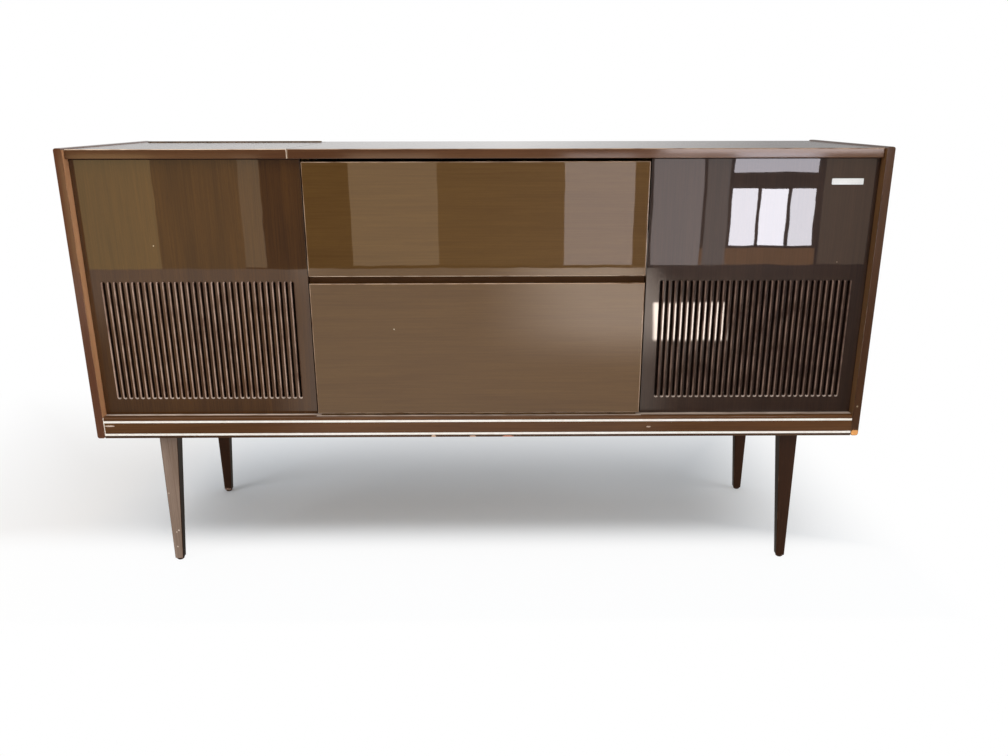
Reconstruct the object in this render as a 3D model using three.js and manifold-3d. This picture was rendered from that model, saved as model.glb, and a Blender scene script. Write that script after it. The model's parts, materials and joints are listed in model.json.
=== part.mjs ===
// Stereo radiogram cabinet of the early 1960s: a long lacquered case on four tapered legs.
// A lid at the left opens over the record player, the upper flap in the middle opens on the
// radio, the lower flap on the record compartment, and a loudspeaker stands behind each grille.
//
// Units are millimetres and +Z is up. The model's origin is on the floor under the middle of
// the case, with +X along the case to the right and -Y towards whoever stands in front of it.
// The pieces are worked out in the case's own frame: X from its middle, Y backwards from the
// front edges of the end panels, Z up from the underside of the case.

import * as THREE from 'three';
import { mergeVertices } from 'three/addons/utils/BufferGeometryUtils.js';
import Module from 'manifold-3d';

const wasm = await Module();
wasm.setup();

// ---------------------------------------------------------------- driving dimensions

// Case
const caseWidth = 1400;
const caseDepth = 375;
const caseHeight = 515;
const legHeight = 265;
const endPanelThickness = 14;
const endPanelCornerRadius = 4;
const boardThickness = 16;
const topDrop = 2;
const topFrontSetback = 7;
const topRearSetback = 3;
const topEdgeRadius = 1.5;
const bayPanelSetback = 18;
const bayWidth = 388.5;
const dividerSetback = 0.5;
const lidSeamOffset = 1;
const fit = 0.3;

// Plinth rail and its inlaid lines
const railHeight = 40.2;
const railSetback = 0.5;
const railNoseRadius = 3;
const inlayDepth = 2;
const inlayWidth = 4;
const upperInlayHeight = 29.6;
const lowerInlayHeight = 5;

// Grilles
const slotCount = 32;
const slotWidth = 4;
const grilleSideMargin = 28.4;
const grilleBottom = 72;
const grilleTop = 286;
const clothThickness = 1;
const clothMargin = 6;

// Legs
const legEndInset = 103;
const legFaceInset = 23;
const legTopWidth = 34;
const legTopDepth = 28;
const legFootSize = 16;
const glideHeight = 4;
const glideRadius = 7;
const glideFlatRadius = 5.5;

// Flaps and lid
const flapSetback = 10;
const flapThickness = 13;
const flapSideGap = 3;
const flapTopGap = 5;
const flapEdgeRadius = 2;
const recordFlapHeight = 241.5;
const grooveHeight = 12;
const shelfFrontSetback = 33;
const lidRearMargin = 31.5;
const lidSideGap = 0.5;
const lidOpenAngle = 75;
const flapOpenAngle = 90;

// Strip hinges
const lidKnuckleRadius = 2;
const lidHingePinRadius = 0.9;
const lidHingeLeaf = 1;
const lidHingeLeafWidth = 14;
const lidHingeMargin = 8;
const lidKnuckleCount = 9;
const flapKnuckleRadius = 1.25;
const flapHingePinRadius = 0.5;
const flapHingeLeaf = 0.8;
const flapHingeLeafWidth = 11;
const flapHingeMargin = 6;
const flapKnuckleCount = 11;

// Radio flap pivots
const pivotPlateThickness = 1.5;
const pivotPinRadius = 1.5;
const pivotPinReach = 6;
const pivotFromFlapBack = 2;
const pivotFromFlapBottom = 4.2;
const pivotPlateHeight = 32;
const runningGap = 0.3;

// Stays: a slotted arm on the moving board rides on a peg in the case
const stayThickness = 2;
const stayHalfWidth = 5;
const stayPinRadius = 1.5;
const pegRadius = 2;
const pegHeadRadius = 4;
const pegFlangeRadius = 5;
const stayRestAngle = 14;
const slotEndSpare = 1.5;
const lidStayMargin = 58;
const lidStayDrop = 23;
const lidStayFlange = 1.9;
const radioStayReach = 8;
const radioStayRise = 70;
const bracketThickness = 1.8;
const bracketFootWidth = 16;

// Record player
const motorBoardDrop = 127;
const motorBoardHoleSpare = 5;
const deckPlateThickness = 8;
const deckPlateSideGap = 14;
const deckPlateFront = 44;
const deckPlateRearMargin = 16.7;
const deckCornerRadius = 14;
const platterForwardShift = 5;
const platterSideInset = 20.25;
const platterArmMargin = 53.75;
const platterRimHeight = 18;
const platterWeb = 5;
const platterRimWidth = 7;
const matThickness = 3;
const matInset = 2;
const platterClearance = 2.7;
const platterHubRadius = 8.7;
const spindleRadius = 3.6;
const spindleRise = 12;
const armPivotSideInset = 28.75;
const armPivotRearInset = 46;
const armPivotHeight = 44;
const armTubeRadius = 4;
const armTipFrontInset = 44;
const armRestShare = 0.8;
const armHubWidth = 14;
const armHubLength = 20;
const armHubHeight = 12;
const headLength = 42;
const headWidth = 18;
const headRise = 4;
const headFall = 6;
const cartridgeWidth = 10;
const cartridgeLength = 18;
const cartridgeInset = 4;
const cartridgeFall = 9;
const counterweightRadius = 12;
const counterweightLength = 26;
const yokeRadius = 16;
const yokeBaseHeight = 7;
const yokeCheekInner = 8;
const yokeCheekThickness = 3;
const yokeCheekHalf = 7;
const speedKnobRadius = 14;
const speedKnobHeight = 12;
const speedKnobSideInset = 30.25;
const speedKnobRearInset = 31;
const speedKnobPointerReach = 4;
const speedKnobPointerHalf = 1.5;
const startLeverLength = 30;
const startLeverHalfWidth = 4;
const startLeverBottom = 3;
const startLeverTop = 8;
const startLeverHubRadius = 7;
const startLeverSideShift = 13;
const startLeverFrontInset = 18;
const motorRadius = 30;
const motorEdge = 6;
const motorLength = 56;

// Radio
const fasciaSetback = 80;
const fasciaThickness = 4;
const fasciaSideGap = 14.5;
const controlPanelHeight = 95;
const dialTopGap = 4.6;
const knobRadius = 20;
const tuningKnobRadius = 26;
const knobDepth = 20;
const knobShaftRadius = 3;
const knobRise = 48;
const knobGripHalf = 1.2;
const knobBackGap = 1.5;
const knobEdge = 2;
const volumeKnobInset = 58;
const toneKnobInset = 133;
const tuningKnobInset = 63;
const keyWidth = 24;
const keyHeight = 30;
const keyPitch = 28;
const keyCount = 4;
const keyTravel = 4;
const keyProjection = 16;
const chassisSideInset = 13;
const chassisRearMargin = 32.7;
const chassisHeight = 70;
const chassisWall = 1.5;
const chassisGap = 12;
const dialPlateSideInset = 68;
const dialPlateThickness = 2;
const dialPlateStandoff = 6;
const pointerWidth = 2;
const pointerMargin = 8;
const transformerWidth = 90;
const transformerDepth = 75;
const transformerHeight = 75;
const transformerInset = 75;
const coilCanSize = 32;
const coilCanHeight = 55;
const coilCanPitch = 90;
const coilCanCount = 3;
const valveRadius = 11;
const valveHeight = 62;
const valvePitch = 50;
const valveCount = 2;

// Loudspeakers
const speakerRadius = 100;
const speakerDepth = 80;
const magnetRadius = 40;
const speakerFlange = 3;
const coneEdge = 5;
const domeRise = 6;

// Back panel
const backPanelThickness = 4;
const backSetback = 8;
const ventCount = 10;
const ventPitch = 26;
const ventWidth = 8;
const ventLength = 90;
const radioVentShare = 0.78;
const speakerVentShare = 0.35;
const inletRadius = 8;
const inletBore = 4;
const inletFlange = 12;
const inletFlangeThickness = 3;
const inletEndInset = 140;
const inletZ = 60;

// ---------------------------------------------------------------- places worked out from them

const halfWidth = caseWidth / 2;
const innerX = halfWidth - endPanelThickness;
const topZ = caseHeight - topDrop;
const topUnderZ = topZ - boardThickness;
const bayPanelBackY = bayPanelSetback + boardThickness;
const bayPanelInnerX = innerX - bayWidth;
const dividerInnerX = bayPanelInnerX + dividerSetback;
const dividerOuterX = dividerInnerX + boardThickness;
const lidSeamX = dividerOuterX + lidSeamOffset;
const backPanelRearY = caseDepth - backSetback;
const backPanelFrontY = backPanelRearY - backPanelThickness;
const boardRearY = backPanelFrontY - fit;
const bayMiddleX = (innerX + bayPanelInnerX) / 2;
const slotPitch = (bayWidth - 2 * grilleSideMargin) / (slotCount - 1);
const grilleMiddleZ = (grilleBottom + grilleTop) / 2;

const flapBackY = flapSetback + flapThickness;
const flapHalfWidth = bayPanelInnerX - flapSideGap;
const recordHingeZ = railHeight + fit + flapKnuckleRadius;
const recordHingeY = flapSetback + flapEdgeRadius / 5;
const recordFlapBottom = recordHingeZ + flapKnuckleRadius + fit;
const recordFlapTop = recordFlapBottom + recordFlapHeight;
const radioFlapBottom = recordFlapTop + grooveHeight;
const radioFlapTop = topUnderZ - flapTopGap;
const radioPivotY = flapBackY - pivotFromFlapBack;
const radioPivotZ = radioFlapBottom + pivotFromFlapBottom;
const lidRearY = caseDepth - lidRearMargin;
const lidHingeZ = topZ;
const lidHingeY = lidRearY + fit + lidKnuckleRadius;
const rearRailFrontY = lidHingeY + lidKnuckleRadius + fit;
const shelfTop = radioFlapBottom;
const motorBoardTop = topZ - motorBoardDrop;
const deckTop = motorBoardTop + fit + deckPlateThickness;

// ---------------------------------------------------------------- small tools

const quarterTurn = Math.PI / 2;
const degree = Math.PI / 180;

/** Gives a closed three.js geometry as a manifold solid, with its faces pointing out. */
function solidOf(geometry) {
  const bare = geometry.clone();
  for (const name of ['normal', 'uv']) bare.deleteAttribute(name);
  const merged = mergeVertices(bare, 1e-4);
  const points = merged.attributes.position.array;
  const corners = [];
  const index = merged.index.array;
  for (let i = 0; i < index.length; i += 3) {
    const [a, b, c] = [index[i], index[i + 1], index[i + 2]];
    if (a !== b && b !== c && a !== c) corners.push(a, b, c);
  }
  const make = (list) => new wasm.Manifold(new wasm.Mesh({
    numProp: 3,
    vertProperties: new Float32Array(points),
    triVerts: new Uint32Array(list),
  }));
  let sixVolumes = 0;
  const [p, q, r] = [new THREE.Vector3(), new THREE.Vector3(), new THREE.Vector3()];
  for (let i = 0; i < corners.length; i += 3) {
    p.fromArray(points, corners[i] * 3);
    q.fromArray(points, corners[i + 1] * 3);
    r.fromArray(points, corners[i + 2] * 3);
    sixVolumes += p.dot(q.cross(r));
  }
  return make(sixVolumes < 0 ? corners.reverse() : corners);
}

/** Gives a manifold solid back as a three.js geometry. */
function geometryOf(solid) {
  const mesh = solid.getMesh();
  const geometry = new THREE.BufferGeometry();
  const points = new Float32Array(mesh.numVert * 3);
  for (let i = 0; i < mesh.numVert; i++) {
    for (let k = 0; k < 3; k++) points[i * 3 + k] = mesh.vertProperties[i * mesh.numProp + k];
  }
  geometry.setAttribute('position', new THREE.BufferAttribute(points, 3));
  geometry.setIndex(Array.from(mesh.triVerts));
  geometry.computeVertexNormals();
  return geometry;
}

/** Joins solids into one. */
const joined = (first, ...others) => others.reduce((sum, other) => sum.add(other), first);

/** Cuts solids out of the first one. */
const cut = (first, ...others) => others.reduce((rest, other) => rest.subtract(other), first);

/** A block between two limits along each axis. */
function block([x0, x1], [y0, y1], [z0, z1]) {
  const geometry = new THREE.BoxGeometry(x1 - x0, y1 - y0, z1 - z0);
  geometry.translate((x0 + x1) / 2, (y0 + y1) / 2, (z0 + z1) / 2);
  return solidOf(geometry);
}

// How an outline drawn in two directions and extruded along a third lies in the case:
// along X it is drawn in Y and Z, along Y in X and Z, along Z in X and Y.
const layOut = {
  x: new THREE.Matrix4().set(0, 0, 1, 0, 1, 0, 0, 0, 0, 1, 0, 0, 0, 0, 0, 1),
  y: new THREE.Matrix4().set(1, 0, 0, 0, 0, 0, -1, 0, 0, 1, 0, 0, 0, 0, 0, 1),
  z: new THREE.Matrix4(),
};

/** An outline extruded along an axis from one place to another. */
function extruded(shape, axis, from, to, curveSegments = 3) {
  const geometry = new THREE.ExtrudeGeometry(shape, {
    depth: to - from,
    bevelEnabled: false,
    curveSegments,
  });
  geometry.applyMatrix4(layOut[axis]);
  const start = { x: [from, 0, 0], y: [0, to, 0], z: [0, 0, from] }[axis];
  geometry.translate(...start);
  return solidOf(geometry);
}

/** A closed outline through points, which may have round-cornered holes. */
function outline(points, holes = []) {
  const shape = new THREE.Shape(points.map(([u, v]) => new THREE.Vector2(u, v)));
  shape.holes.push(...holes);
  return shape;
}

/** A rectangle's corners. */
const rectangle = ([u0, u1], [v0, v1]) => [[u0, v0], [u1, v0], [u1, v1], [u0, v1]];

/** A rectangle with round corners. */
function roundedRectangle([u0, u1], [v0, v1], radius) {
  const shape = new THREE.Shape();
  shape.absarc(u1 - radius, v0 + radius, radius, -quarterTurn, 0);
  shape.absarc(u1 - radius, v1 - radius, radius, 0, quarterTurn);
  shape.absarc(u0 + radius, v1 - radius, radius, quarterTurn, Math.PI);
  shape.absarc(u0 + radius, v0 + radius, radius, Math.PI, 3 * quarterTurn);
  shape.closePath();
  return shape;
}

/** A slot with round ends: its middle line runs from v0 to v1 at u. */
function uprightSlot(u, [v0, v1], halfWide) {
  const slot = new THREE.Path();
  slot.absarc(u, v1, halfWide, 0, Math.PI);
  slot.absarc(u, v0, halfWide, Math.PI, 2 * Math.PI);
  slot.closePath();
  return slot;
}

/** A slot with round ends: its middle line runs from u0 to u1 at v. */
function levelSlot([u0, u1], v, halfWide) {
  const slot = new THREE.Path();
  slot.absarc(u1, v, halfWide, -quarterTurn, quarterTurn);
  slot.absarc(u0, v, halfWide, quarterTurn, 3 * quarterTurn);
  slot.closePath();
  return slot;
}

/** A round hole as a polygon whose flats, not its corners, lie on the radius. */
function roundHole(u, v, radius, sides = 16) {
  const outer = radius / Math.cos(Math.PI / sides);
  const corners = Array.from({ length: sides }, (_, i) => {
    const angle = (i + 0.5) * 2 * Math.PI / sides;
    return new THREE.Vector2(u + outer * Math.cos(angle), v + outer * Math.sin(angle));
  });
  return new THREE.Path(corners);
}

/** A flat board whose edges are rounded, with its thickness along Y or Z. */
function roundedBoard(xs, ys, zs, radius, axis) {
  const inset = ([low, high]) => [low + radius, high - radius];
  const [drawn, thickness] = axis === 'y' ? [zs, ys] : [ys, zs];
  const geometry = new THREE.ExtrudeGeometry(outline(rectangle(inset(xs), inset(drawn))), {
    depth: thickness[1] - thickness[0] - 2 * radius,
    bevelThickness: radius,
    bevelSize: radius,
    bevelSegments: 2,
  });
  geometry.applyMatrix4(layOut[axis]);
  const shift = { y: [0, thickness[1] - radius, 0], z: [0, 0, thickness[0] + radius] }[axis];
  geometry.translate(...shift);
  return solidOf(geometry);
}

/** A round bar along an axis, between two places, through a point given in the other two. */
function bar(axis, [from, to], radius, [u, v], sides = 16) {
  const geometry = new THREE.CylinderGeometry(radius, radius, to - from, sides);
  const middle = (from + to) / 2;
  if (axis === 'x') geometry.rotateZ(quarterTurn).translate(middle, u, v);
  if (axis === 'y') geometry.translate(u, middle, v);
  if (axis === 'z') geometry.rotateX(quarterTurn).translate(u, v, middle);
  return solidOf(geometry);
}

/** A turned piece: its profile is radius and height, and starts and ends on the axis. */
function turned(profile, sides, axis = 'z') {
  const geometry = new THREE.LatheGeometry(profile.map(([r, h]) => new THREE.Vector2(r, h)), sides);
  if (axis === 'z') geometry.rotateX(quarterTurn);
  return solidOf(geometry);
}

/** The mirror image across the case's middle, in X. */
function mirrored(solid) {
  return solid.mirror([1, 0, 0]);
}

const radiogram = new THREE.Group();
radiogram.name = 'radiogram';
radiogram.position.set(0, -caseDepth / 2, legHeight);

const finishes = {
  veneer: { color: 0x5c3f26, roughness: 0.12, metalness: 0 },
  darkVeneer: { color: 0x4a2e18, roughness: 0.15, metalness: 0 },
  lighterEdge: { color: 0x6a4228, roughness: 0.25, metalness: 0 },
  rawBoard: { color: 0x8a6a48, roughness: 0.8, metalness: 0 },
  hardboard: { color: 0x6b5138, roughness: 0.85, metalness: 0 },
  inlay: { color: 0xf4e6dc, roughness: 0.3, metalness: 0 },
  cloth: { color: 0x2a2018, roughness: 0.95, metalness: 0 },
  brass: { color: 0xb08d4a, roughness: 0.35, metalness: 1 },
  steel: { color: 0xa9abac, roughness: 0.35, metalness: 1 },
  chrome: { color: 0xd6d8da, roughness: 0.1, metalness: 1 },
  enamel: { color: 0xd9d2c0, roughness: 0.4, metalness: 0.1 },
  rubber: { color: 0x1c1b1a, roughness: 0.8, metalness: 0 },
  ivory: { color: 0xe9dfc6, roughness: 0.25, metalness: 0 },
  darkPlastic: { color: 0x2b2522, roughness: 0.3, metalness: 0 },
  dialGlass: { color: 0x1f2a26, roughness: 0.05, metalness: 0 },
  pointer: { color: 0xd8402a, roughness: 0.4, metalness: 0 },
};

/** Adds a solid to the radiogram under its name, in a finish of its own, at a place. */
function add(name, solid, finish, place = [0, 0, 0], turn = 0) {
  const mesh = new THREE.Mesh(geometryOf(solid), new THREE.MeshStandardMaterial(finishes[finish]));
  mesh.name = name;
  mesh.position.set(...place);
  mesh.rotation.x = turn;
  radiogram.add(mesh);
}

// ---------------------------------------------------------------- case

function addCase() {
  const end = roundedRectangle(
    [innerX, halfWidth], [0, caseHeight], endPanelCornerRadius);
  const endPanel = extruded(end, 'y', 0, caseDepth);
  add('side_panel_right', endPanel, 'lighterEdge');
  add('side_panel_left', mirrored(endPanel), 'lighterEdge');

  const insideX = [-innerX + fit, innerX - fit];
  const underTop = topUnderZ - fit;
  add('bottom_panel', block(insideX, [bayPanelBackY + fit, boardRearY], [0, boardThickness]), 'rawBoard');

  add('top_panel', roundedBoard(
    [-lidSeamX, innerX - fit], [topFrontSetback, caseDepth - topRearSetback], [topUnderZ, topZ],
    topEdgeRadius, 'z'), 'veneer');
  add('lid_rear_rail', block(
    [-innerX + fit, -lidSeamX - fit], [rearRailFrontY, caseDepth - topRearSetback], [topUnderZ, topZ],
  ), 'veneer');

  const dividerZ = [boardThickness + fit, underTop];
  const divider = block([dividerInnerX, dividerOuterX], [bayPanelBackY + fit, boardRearY], dividerZ);
  add('divider_right', divider, 'rawBoard');
  add('divider_left', mirrored(divider), 'rawBoard');

  add('centre_shelf', block(
    [-bayPanelInnerX + fit, bayPanelInnerX - fit], [shelfFrontSetback, boardRearY],
    [shelfTop - boardThickness, shelfTop]), 'darkVeneer');
}

function addFrontPanels() {
  const grilleHalfWidth = (slotCount - 1) * slotPitch / 2;
  const slotEnds = [grilleBottom + slotWidth / 2, grilleTop - slotWidth / 2];
  const slots = [];
  for (let i = 0; i < slotCount; i++) {
    const x = bayMiddleX - grilleHalfWidth + i * slotPitch;
    slots.push(uprightSlot(x, slotEnds, slotWidth / 2));
  }
  const face = outline(
    rectangle([bayPanelInnerX, innerX - fit], [railHeight + fit, topUnderZ - fit]), slots);
  const panel = extruded(face, 'y', bayPanelSetback, bayPanelBackY, 2);
  const pivotBore = bar('x', [bayPanelInnerX - 1, flapHalfWidth + flapSideGap + pivotPinReach + 1],
    pivotPinRadius + runningGap, [radioPivotY, radioPivotZ], 12);
  add('front_panel_right', panel.subtract(pivotBore), 'darkVeneer');
  add('front_panel_left', mirrored(panel.subtract(pivotBore)), 'veneer');

  const clothHalfWidth = grilleHalfWidth + slotWidth / 2 + clothMargin;
  const cloth = block(
    [bayMiddleX - clothHalfWidth, bayMiddleX + clothHalfWidth],
    [bayPanelBackY + fit, bayPanelBackY + fit + clothThickness],
    [grilleBottom - clothMargin, grilleTop + clothMargin]);
  add('grille_cloth_right', cloth, 'cloth');
  add('grille_cloth_left', mirrored(cloth), 'cloth');
}

function addPlinth() {
  const noseZ = railHeight - railNoseRadius;
  const section = new THREE.Shape();
  section.moveTo(railSetback, 0);
  section.lineTo(bayPanelBackY, 0);
  section.lineTo(bayPanelBackY, railHeight);
  section.lineTo(railSetback + railNoseRadius, railHeight);
  section.absarc(railSetback + railNoseRadius, noseZ, railNoseRadius, quarterTurn, Math.PI);
  section.closePath();
  const halfLength = innerX - fit;
  const rail = extruded(section, 'x', -halfLength, halfLength);
  const groove = (height) => block(
    [-innerX, innerX], [0, railSetback + inlayDepth + fit],
    [height - fit / 2, height + inlayWidth + fit / 2]);
  add('base_rail', cut(rail, groove(upperInlayHeight), groove(lowerInlayHeight)), 'veneer');
  const strip = (height) => block(
    [-halfLength, halfLength], [railSetback, railSetback + inlayDepth], [height, height + inlayWidth]);
  add('inlay_strip_upper', strip(upperInlayHeight), 'inlay');
  add('inlay_strip_lower', strip(lowerInlayHeight), 'inlay');
}

/** A leg whose outer face and outward end are upright, and whose other two faces taper. */
function leg() {
  const ring = (width, depth, z) => [[0, 0, z], [width, 0, z], [width, depth, z], [0, depth, z]];
  const points = [
    ...ring(legFootSize, legFootSize, glideHeight - legHeight + fit),
    ...ring(legTopWidth, legTopDepth, -fit),
  ];
  const geometry = new THREE.BufferGeometry();
  geometry.setAttribute('position', new THREE.Float32BufferAttribute(points.flat(), 3));
  const faces = [[0, 3, 2, 1], [4, 5, 6, 7], [0, 1, 5, 4], [1, 2, 6, 5], [2, 3, 7, 6], [3, 0, 4, 7]];
  geometry.setIndex(faces.flatMap(([a, b, c, d]) => [a, b, c, a, c, d]));
  return solidOf(geometry);
}

function addLegs() {
  const glide = turned([
    [0, 0], [glideFlatRadius, 0], [glideRadius, glideRadius - glideFlatRadius],
    [glideRadius, glideHeight], [0, glideHeight],
  ], 16);
  const corners = { front_left: [-1, 1], front_right: [1, 1], rear_left: [-1, -1], rear_right: [1, -1] };
  for (const [corner, [across, forward]] of Object.entries(corners)) {
    const x = across * (halfWidth - legEndInset);
    const y = forward > 0 ? legFaceInset : caseDepth - legFaceInset;
    let piece = leg();
    if (across > 0) piece = piece.mirror([1, 0, 0]);
    if (forward < 0) piece = piece.mirror([0, 1, 0]);
    add(`leg_${corner}`, piece, 'darkVeneer', [x, y, 0]);
    const half = legFootSize / 2;
    add(`glide_${corner}`, glide, 'rubber', [x - across * half, y + forward * half, -legHeight]);
  }
}

function addBack() {
  const inletX = halfWidth - inletEndInset;
  const vents = [];
  for (const middle of [-bayMiddleX, 0, bayMiddleX]) {
    for (let i = 0; i < ventCount; i++) {
      const x = middle + (i - (ventCount - 1) / 2) * ventPitch;
      const z = caseHeight * (middle === 0 ? radioVentShare : speakerVentShare);
      vents.push(uprightSlot(x, [z - ventLength / 2, z + ventLength / 2], ventWidth / 2));
    }
  }
  const inletHole = roundHole(inletX, inletZ, inletRadius + fit);
  const face = outline(
    rectangle([-innerX + fit, innerX - fit], [0, topUnderZ - fit]), [...vents, inletHole]);
  add('back_panel', extruded(face, 'y', backPanelFrontY, backPanelRearY, 2), 'hardboard');

  const inside = -2 * backPanelThickness;
  const flangeRear = fit + inletFlangeThickness;
  const bushing = turned([
    [0, inside], [inletRadius, inside], [inletRadius, fit], [inletFlange, fit],
    [inletFlange, flangeRear], [0, flangeRear],
  ], 20, 'y');
  const bore = bar('y', [inside - 1, flangeRear + 1], inletBore, [0, 0], 12);
  add('mains_inlet', cut(bushing, bore), 'darkPlastic', [inletX, backPanelRearY, inletZ]);
}

// ---------------------------------------------------------------- hinges, lid and flaps

/**
 * A folded strip hinge along X about its own axis, both leaves towards +Y. The fixed leaf lies
 * on one side of the axis in Z, the moving leaf on the other: above it for side 1, below for -1.
 */
function stripHinge({ length, knuckles, radius, pin, leaf, width, side }) {
  const step = length / knuckles;
  const bore = pin + runningGap;
  const leafPlate = (z) => block(
    [-length / 2, length / 2], [radius + runningGap, width],
    z > 0 ? [radius - leaf, radius] : [-radius, leaf - radius]);
  let fixed = leafPlate(-side);
  let moving = leafPlate(side);
  for (let i = 0; i < knuckles; i++) {
    const from = -length / 2 + i * step + runningGap / 2;
    const to = from + step - runningGap;
    const isFixed = i % 2 === 0;
    const z = (isFixed ? -side : side) > 0 ? [radius - leaf, radius] : [-radius, leaf - radius];
    const tab = block([from, to], [0, radius + 2 * runningGap], z);
    const knuckle = joined(bar('x', [from, to], radius, [0, 0], 12), tab);
    if (isFixed) fixed = fixed.add(knuckle);
    else moving = moving.add(knuckle);
  }
  const pinBar = bar('x', [-length / 2 + runningGap, length / 2 - runningGap], pin, [0, 0], 8);
  const boreBar = bar('x', [-length, length], bore, [0, 0], 8);
  return { fixed: fixed.add(pinBar), moving: moving.subtract(boreBar) };
}

/** Places of a stay: pivot on the board, peg in the case, both on one circle about the hinge. */
function stayPlan({ hingeY, hingeZ, pivotY, pivotZ, turn, openAngle }) {
  const reach = Math.hypot(pivotY, pivotZ);
  const pivotAngle = Math.atan2(pivotZ, pivotY);
  const pegAngle = pivotAngle - turn * stayRestAngle * degree;
  const chord = (angle) => 2 * reach * Math.sin(angle * degree / 2);
  const peg = [hingeY + reach * Math.cos(pegAngle), hingeZ + reach * Math.sin(pegAngle)];
  const pivot = [hingeY + pivotY, hingeZ + pivotZ];
  return {
    pivot,
    peg,
    angle: Math.atan2(peg[1] - pivot[1], peg[0] - pivot[0]),
    near: chord(stayRestAngle),
    far: chord(stayRestAngle + openAngle),
  };
}

/** A slotted arm along +Y from its pivot, with its thickness along X about zero. */
function stayArm({ near, far }) {
  const slotHalf = pegRadius + runningGap;
  const tip = far + slotEndSpare;
  const shape = new THREE.Shape();
  shape.absarc(tip, 0, stayHalfWidth, -quarterTurn, quarterTurn);
  shape.absarc(0, 0, stayHalfWidth, quarterTurn, 3 * quarterTurn);
  shape.closePath();
  shape.holes.push(roundHole(0, 0, stayPinRadius + runningGap));
  shape.holes.push(levelSlot([near - slotEndSpare, tip], 0, slotHalf));
  return extruded(shape, 'x', -stayThickness / 2, stayThickness / 2, 4);
}

/** A shouldered peg along X: its flange is against a wall at zero and it points to +X. */
function stayPeg(flangeThickness) {
  const armFace = flangeThickness + runningGap + stayThickness;
  return joined(
    bar('x', [0, flangeThickness], pegFlangeRadius, [0, 0]),
    bar('x', [0, armFace + runningGap + 1], pegRadius, [0, 0]),
    bar('x', [armFace + runningGap, armFace + runningGap + bracketThickness], pegHeadRadius, [0, 0]));
}

function addLid() {
  const lidX = [-innerX + fit + lidSideGap, -lidSeamX - lidSideGap];
  add('turntable_lid', roundedBoard(
    lidX, [topFrontSetback, lidRearY], [topUnderZ, topZ], topEdgeRadius, 'z'), 'veneer');

  const hinge = stripHinge({
    length: lidX[1] - lidX[0] - 2 * lidHingeMargin,
    knuckles: lidKnuckleCount,
    radius: lidKnuckleRadius,
    pin: lidHingePinRadius,
    leaf: lidHingeLeaf,
    width: lidHingeLeafWidth,
    side: -1,
  });
  const place = [(lidX[0] + lidX[1]) / 2, lidHingeY, lidHingeZ];
  add('lid_hinge_fixed_leaf', hinge.fixed, 'brass', place, -quarterTurn);
  add('lid_hinge_moving_leaf', hinge.moving, 'brass', place, -quarterTurn);

  const plan = stayPlan({
    hingeY: lidHingeY, hingeZ: lidHingeZ, pivotY: lidStayMargin - motorBoardDrop, pivotZ: -lidStayDrop,
    turn: -1, openAngle: lidOpenAngle,
  });
  const wallX = -innerX + fit;
  const armX = wallX + lidStayFlange + runningGap + stayThickness / 2;
  add('lid_stay', stayArm(plan), 'steel', [armX, ...plan.pivot], plan.angle);
  add('lid_stay_peg', stayPeg(lidStayFlange), 'steel', [wallX, ...plan.peg]);

  const lugX = armX + stayThickness / 2 + runningGap;
  const footZ = topUnderZ - fit;
  const [pivotY, pivotZ] = plan.pivot;
  const half = stayHalfWidth + 1;
  const bracket = joined(
    block([lugX, lugX + bracketThickness], [pivotY - half, pivotY + half], [pivotZ - half, footZ]),
    block([lugX, lugX + bracketFootWidth], [pivotY - 2 * half, pivotY + 2 * half],
      [footZ - bracketThickness, footZ]),
    bar('x', [armX - stayThickness, lugX + 1], stayPinRadius, plan.pivot));
  add('lid_stay_bracket', bracket, 'steel');
}

function addRecordFlap() {
  add('record_flap', roundedBoard(
    [-flapHalfWidth, flapHalfWidth], [flapSetback, flapBackY], [recordFlapBottom, recordFlapTop],
    flapEdgeRadius, 'y'), 'veneer');
  const hinge = stripHinge({
    length: 2 * (flapHalfWidth - flapHingeMargin),
    knuckles: flapKnuckleCount,
    radius: flapKnuckleRadius,
    pin: flapHingePinRadius,
    leaf: flapHingeLeaf,
    width: flapHingeLeafWidth,
    side: 1,
  });
  const place = [0, recordHingeY, recordHingeZ];
  add('record_hinge_fixed_leaf', hinge.fixed, 'brass', place);
  add('record_hinge_moving_leaf', hinge.moving, 'brass', place);
}

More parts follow.
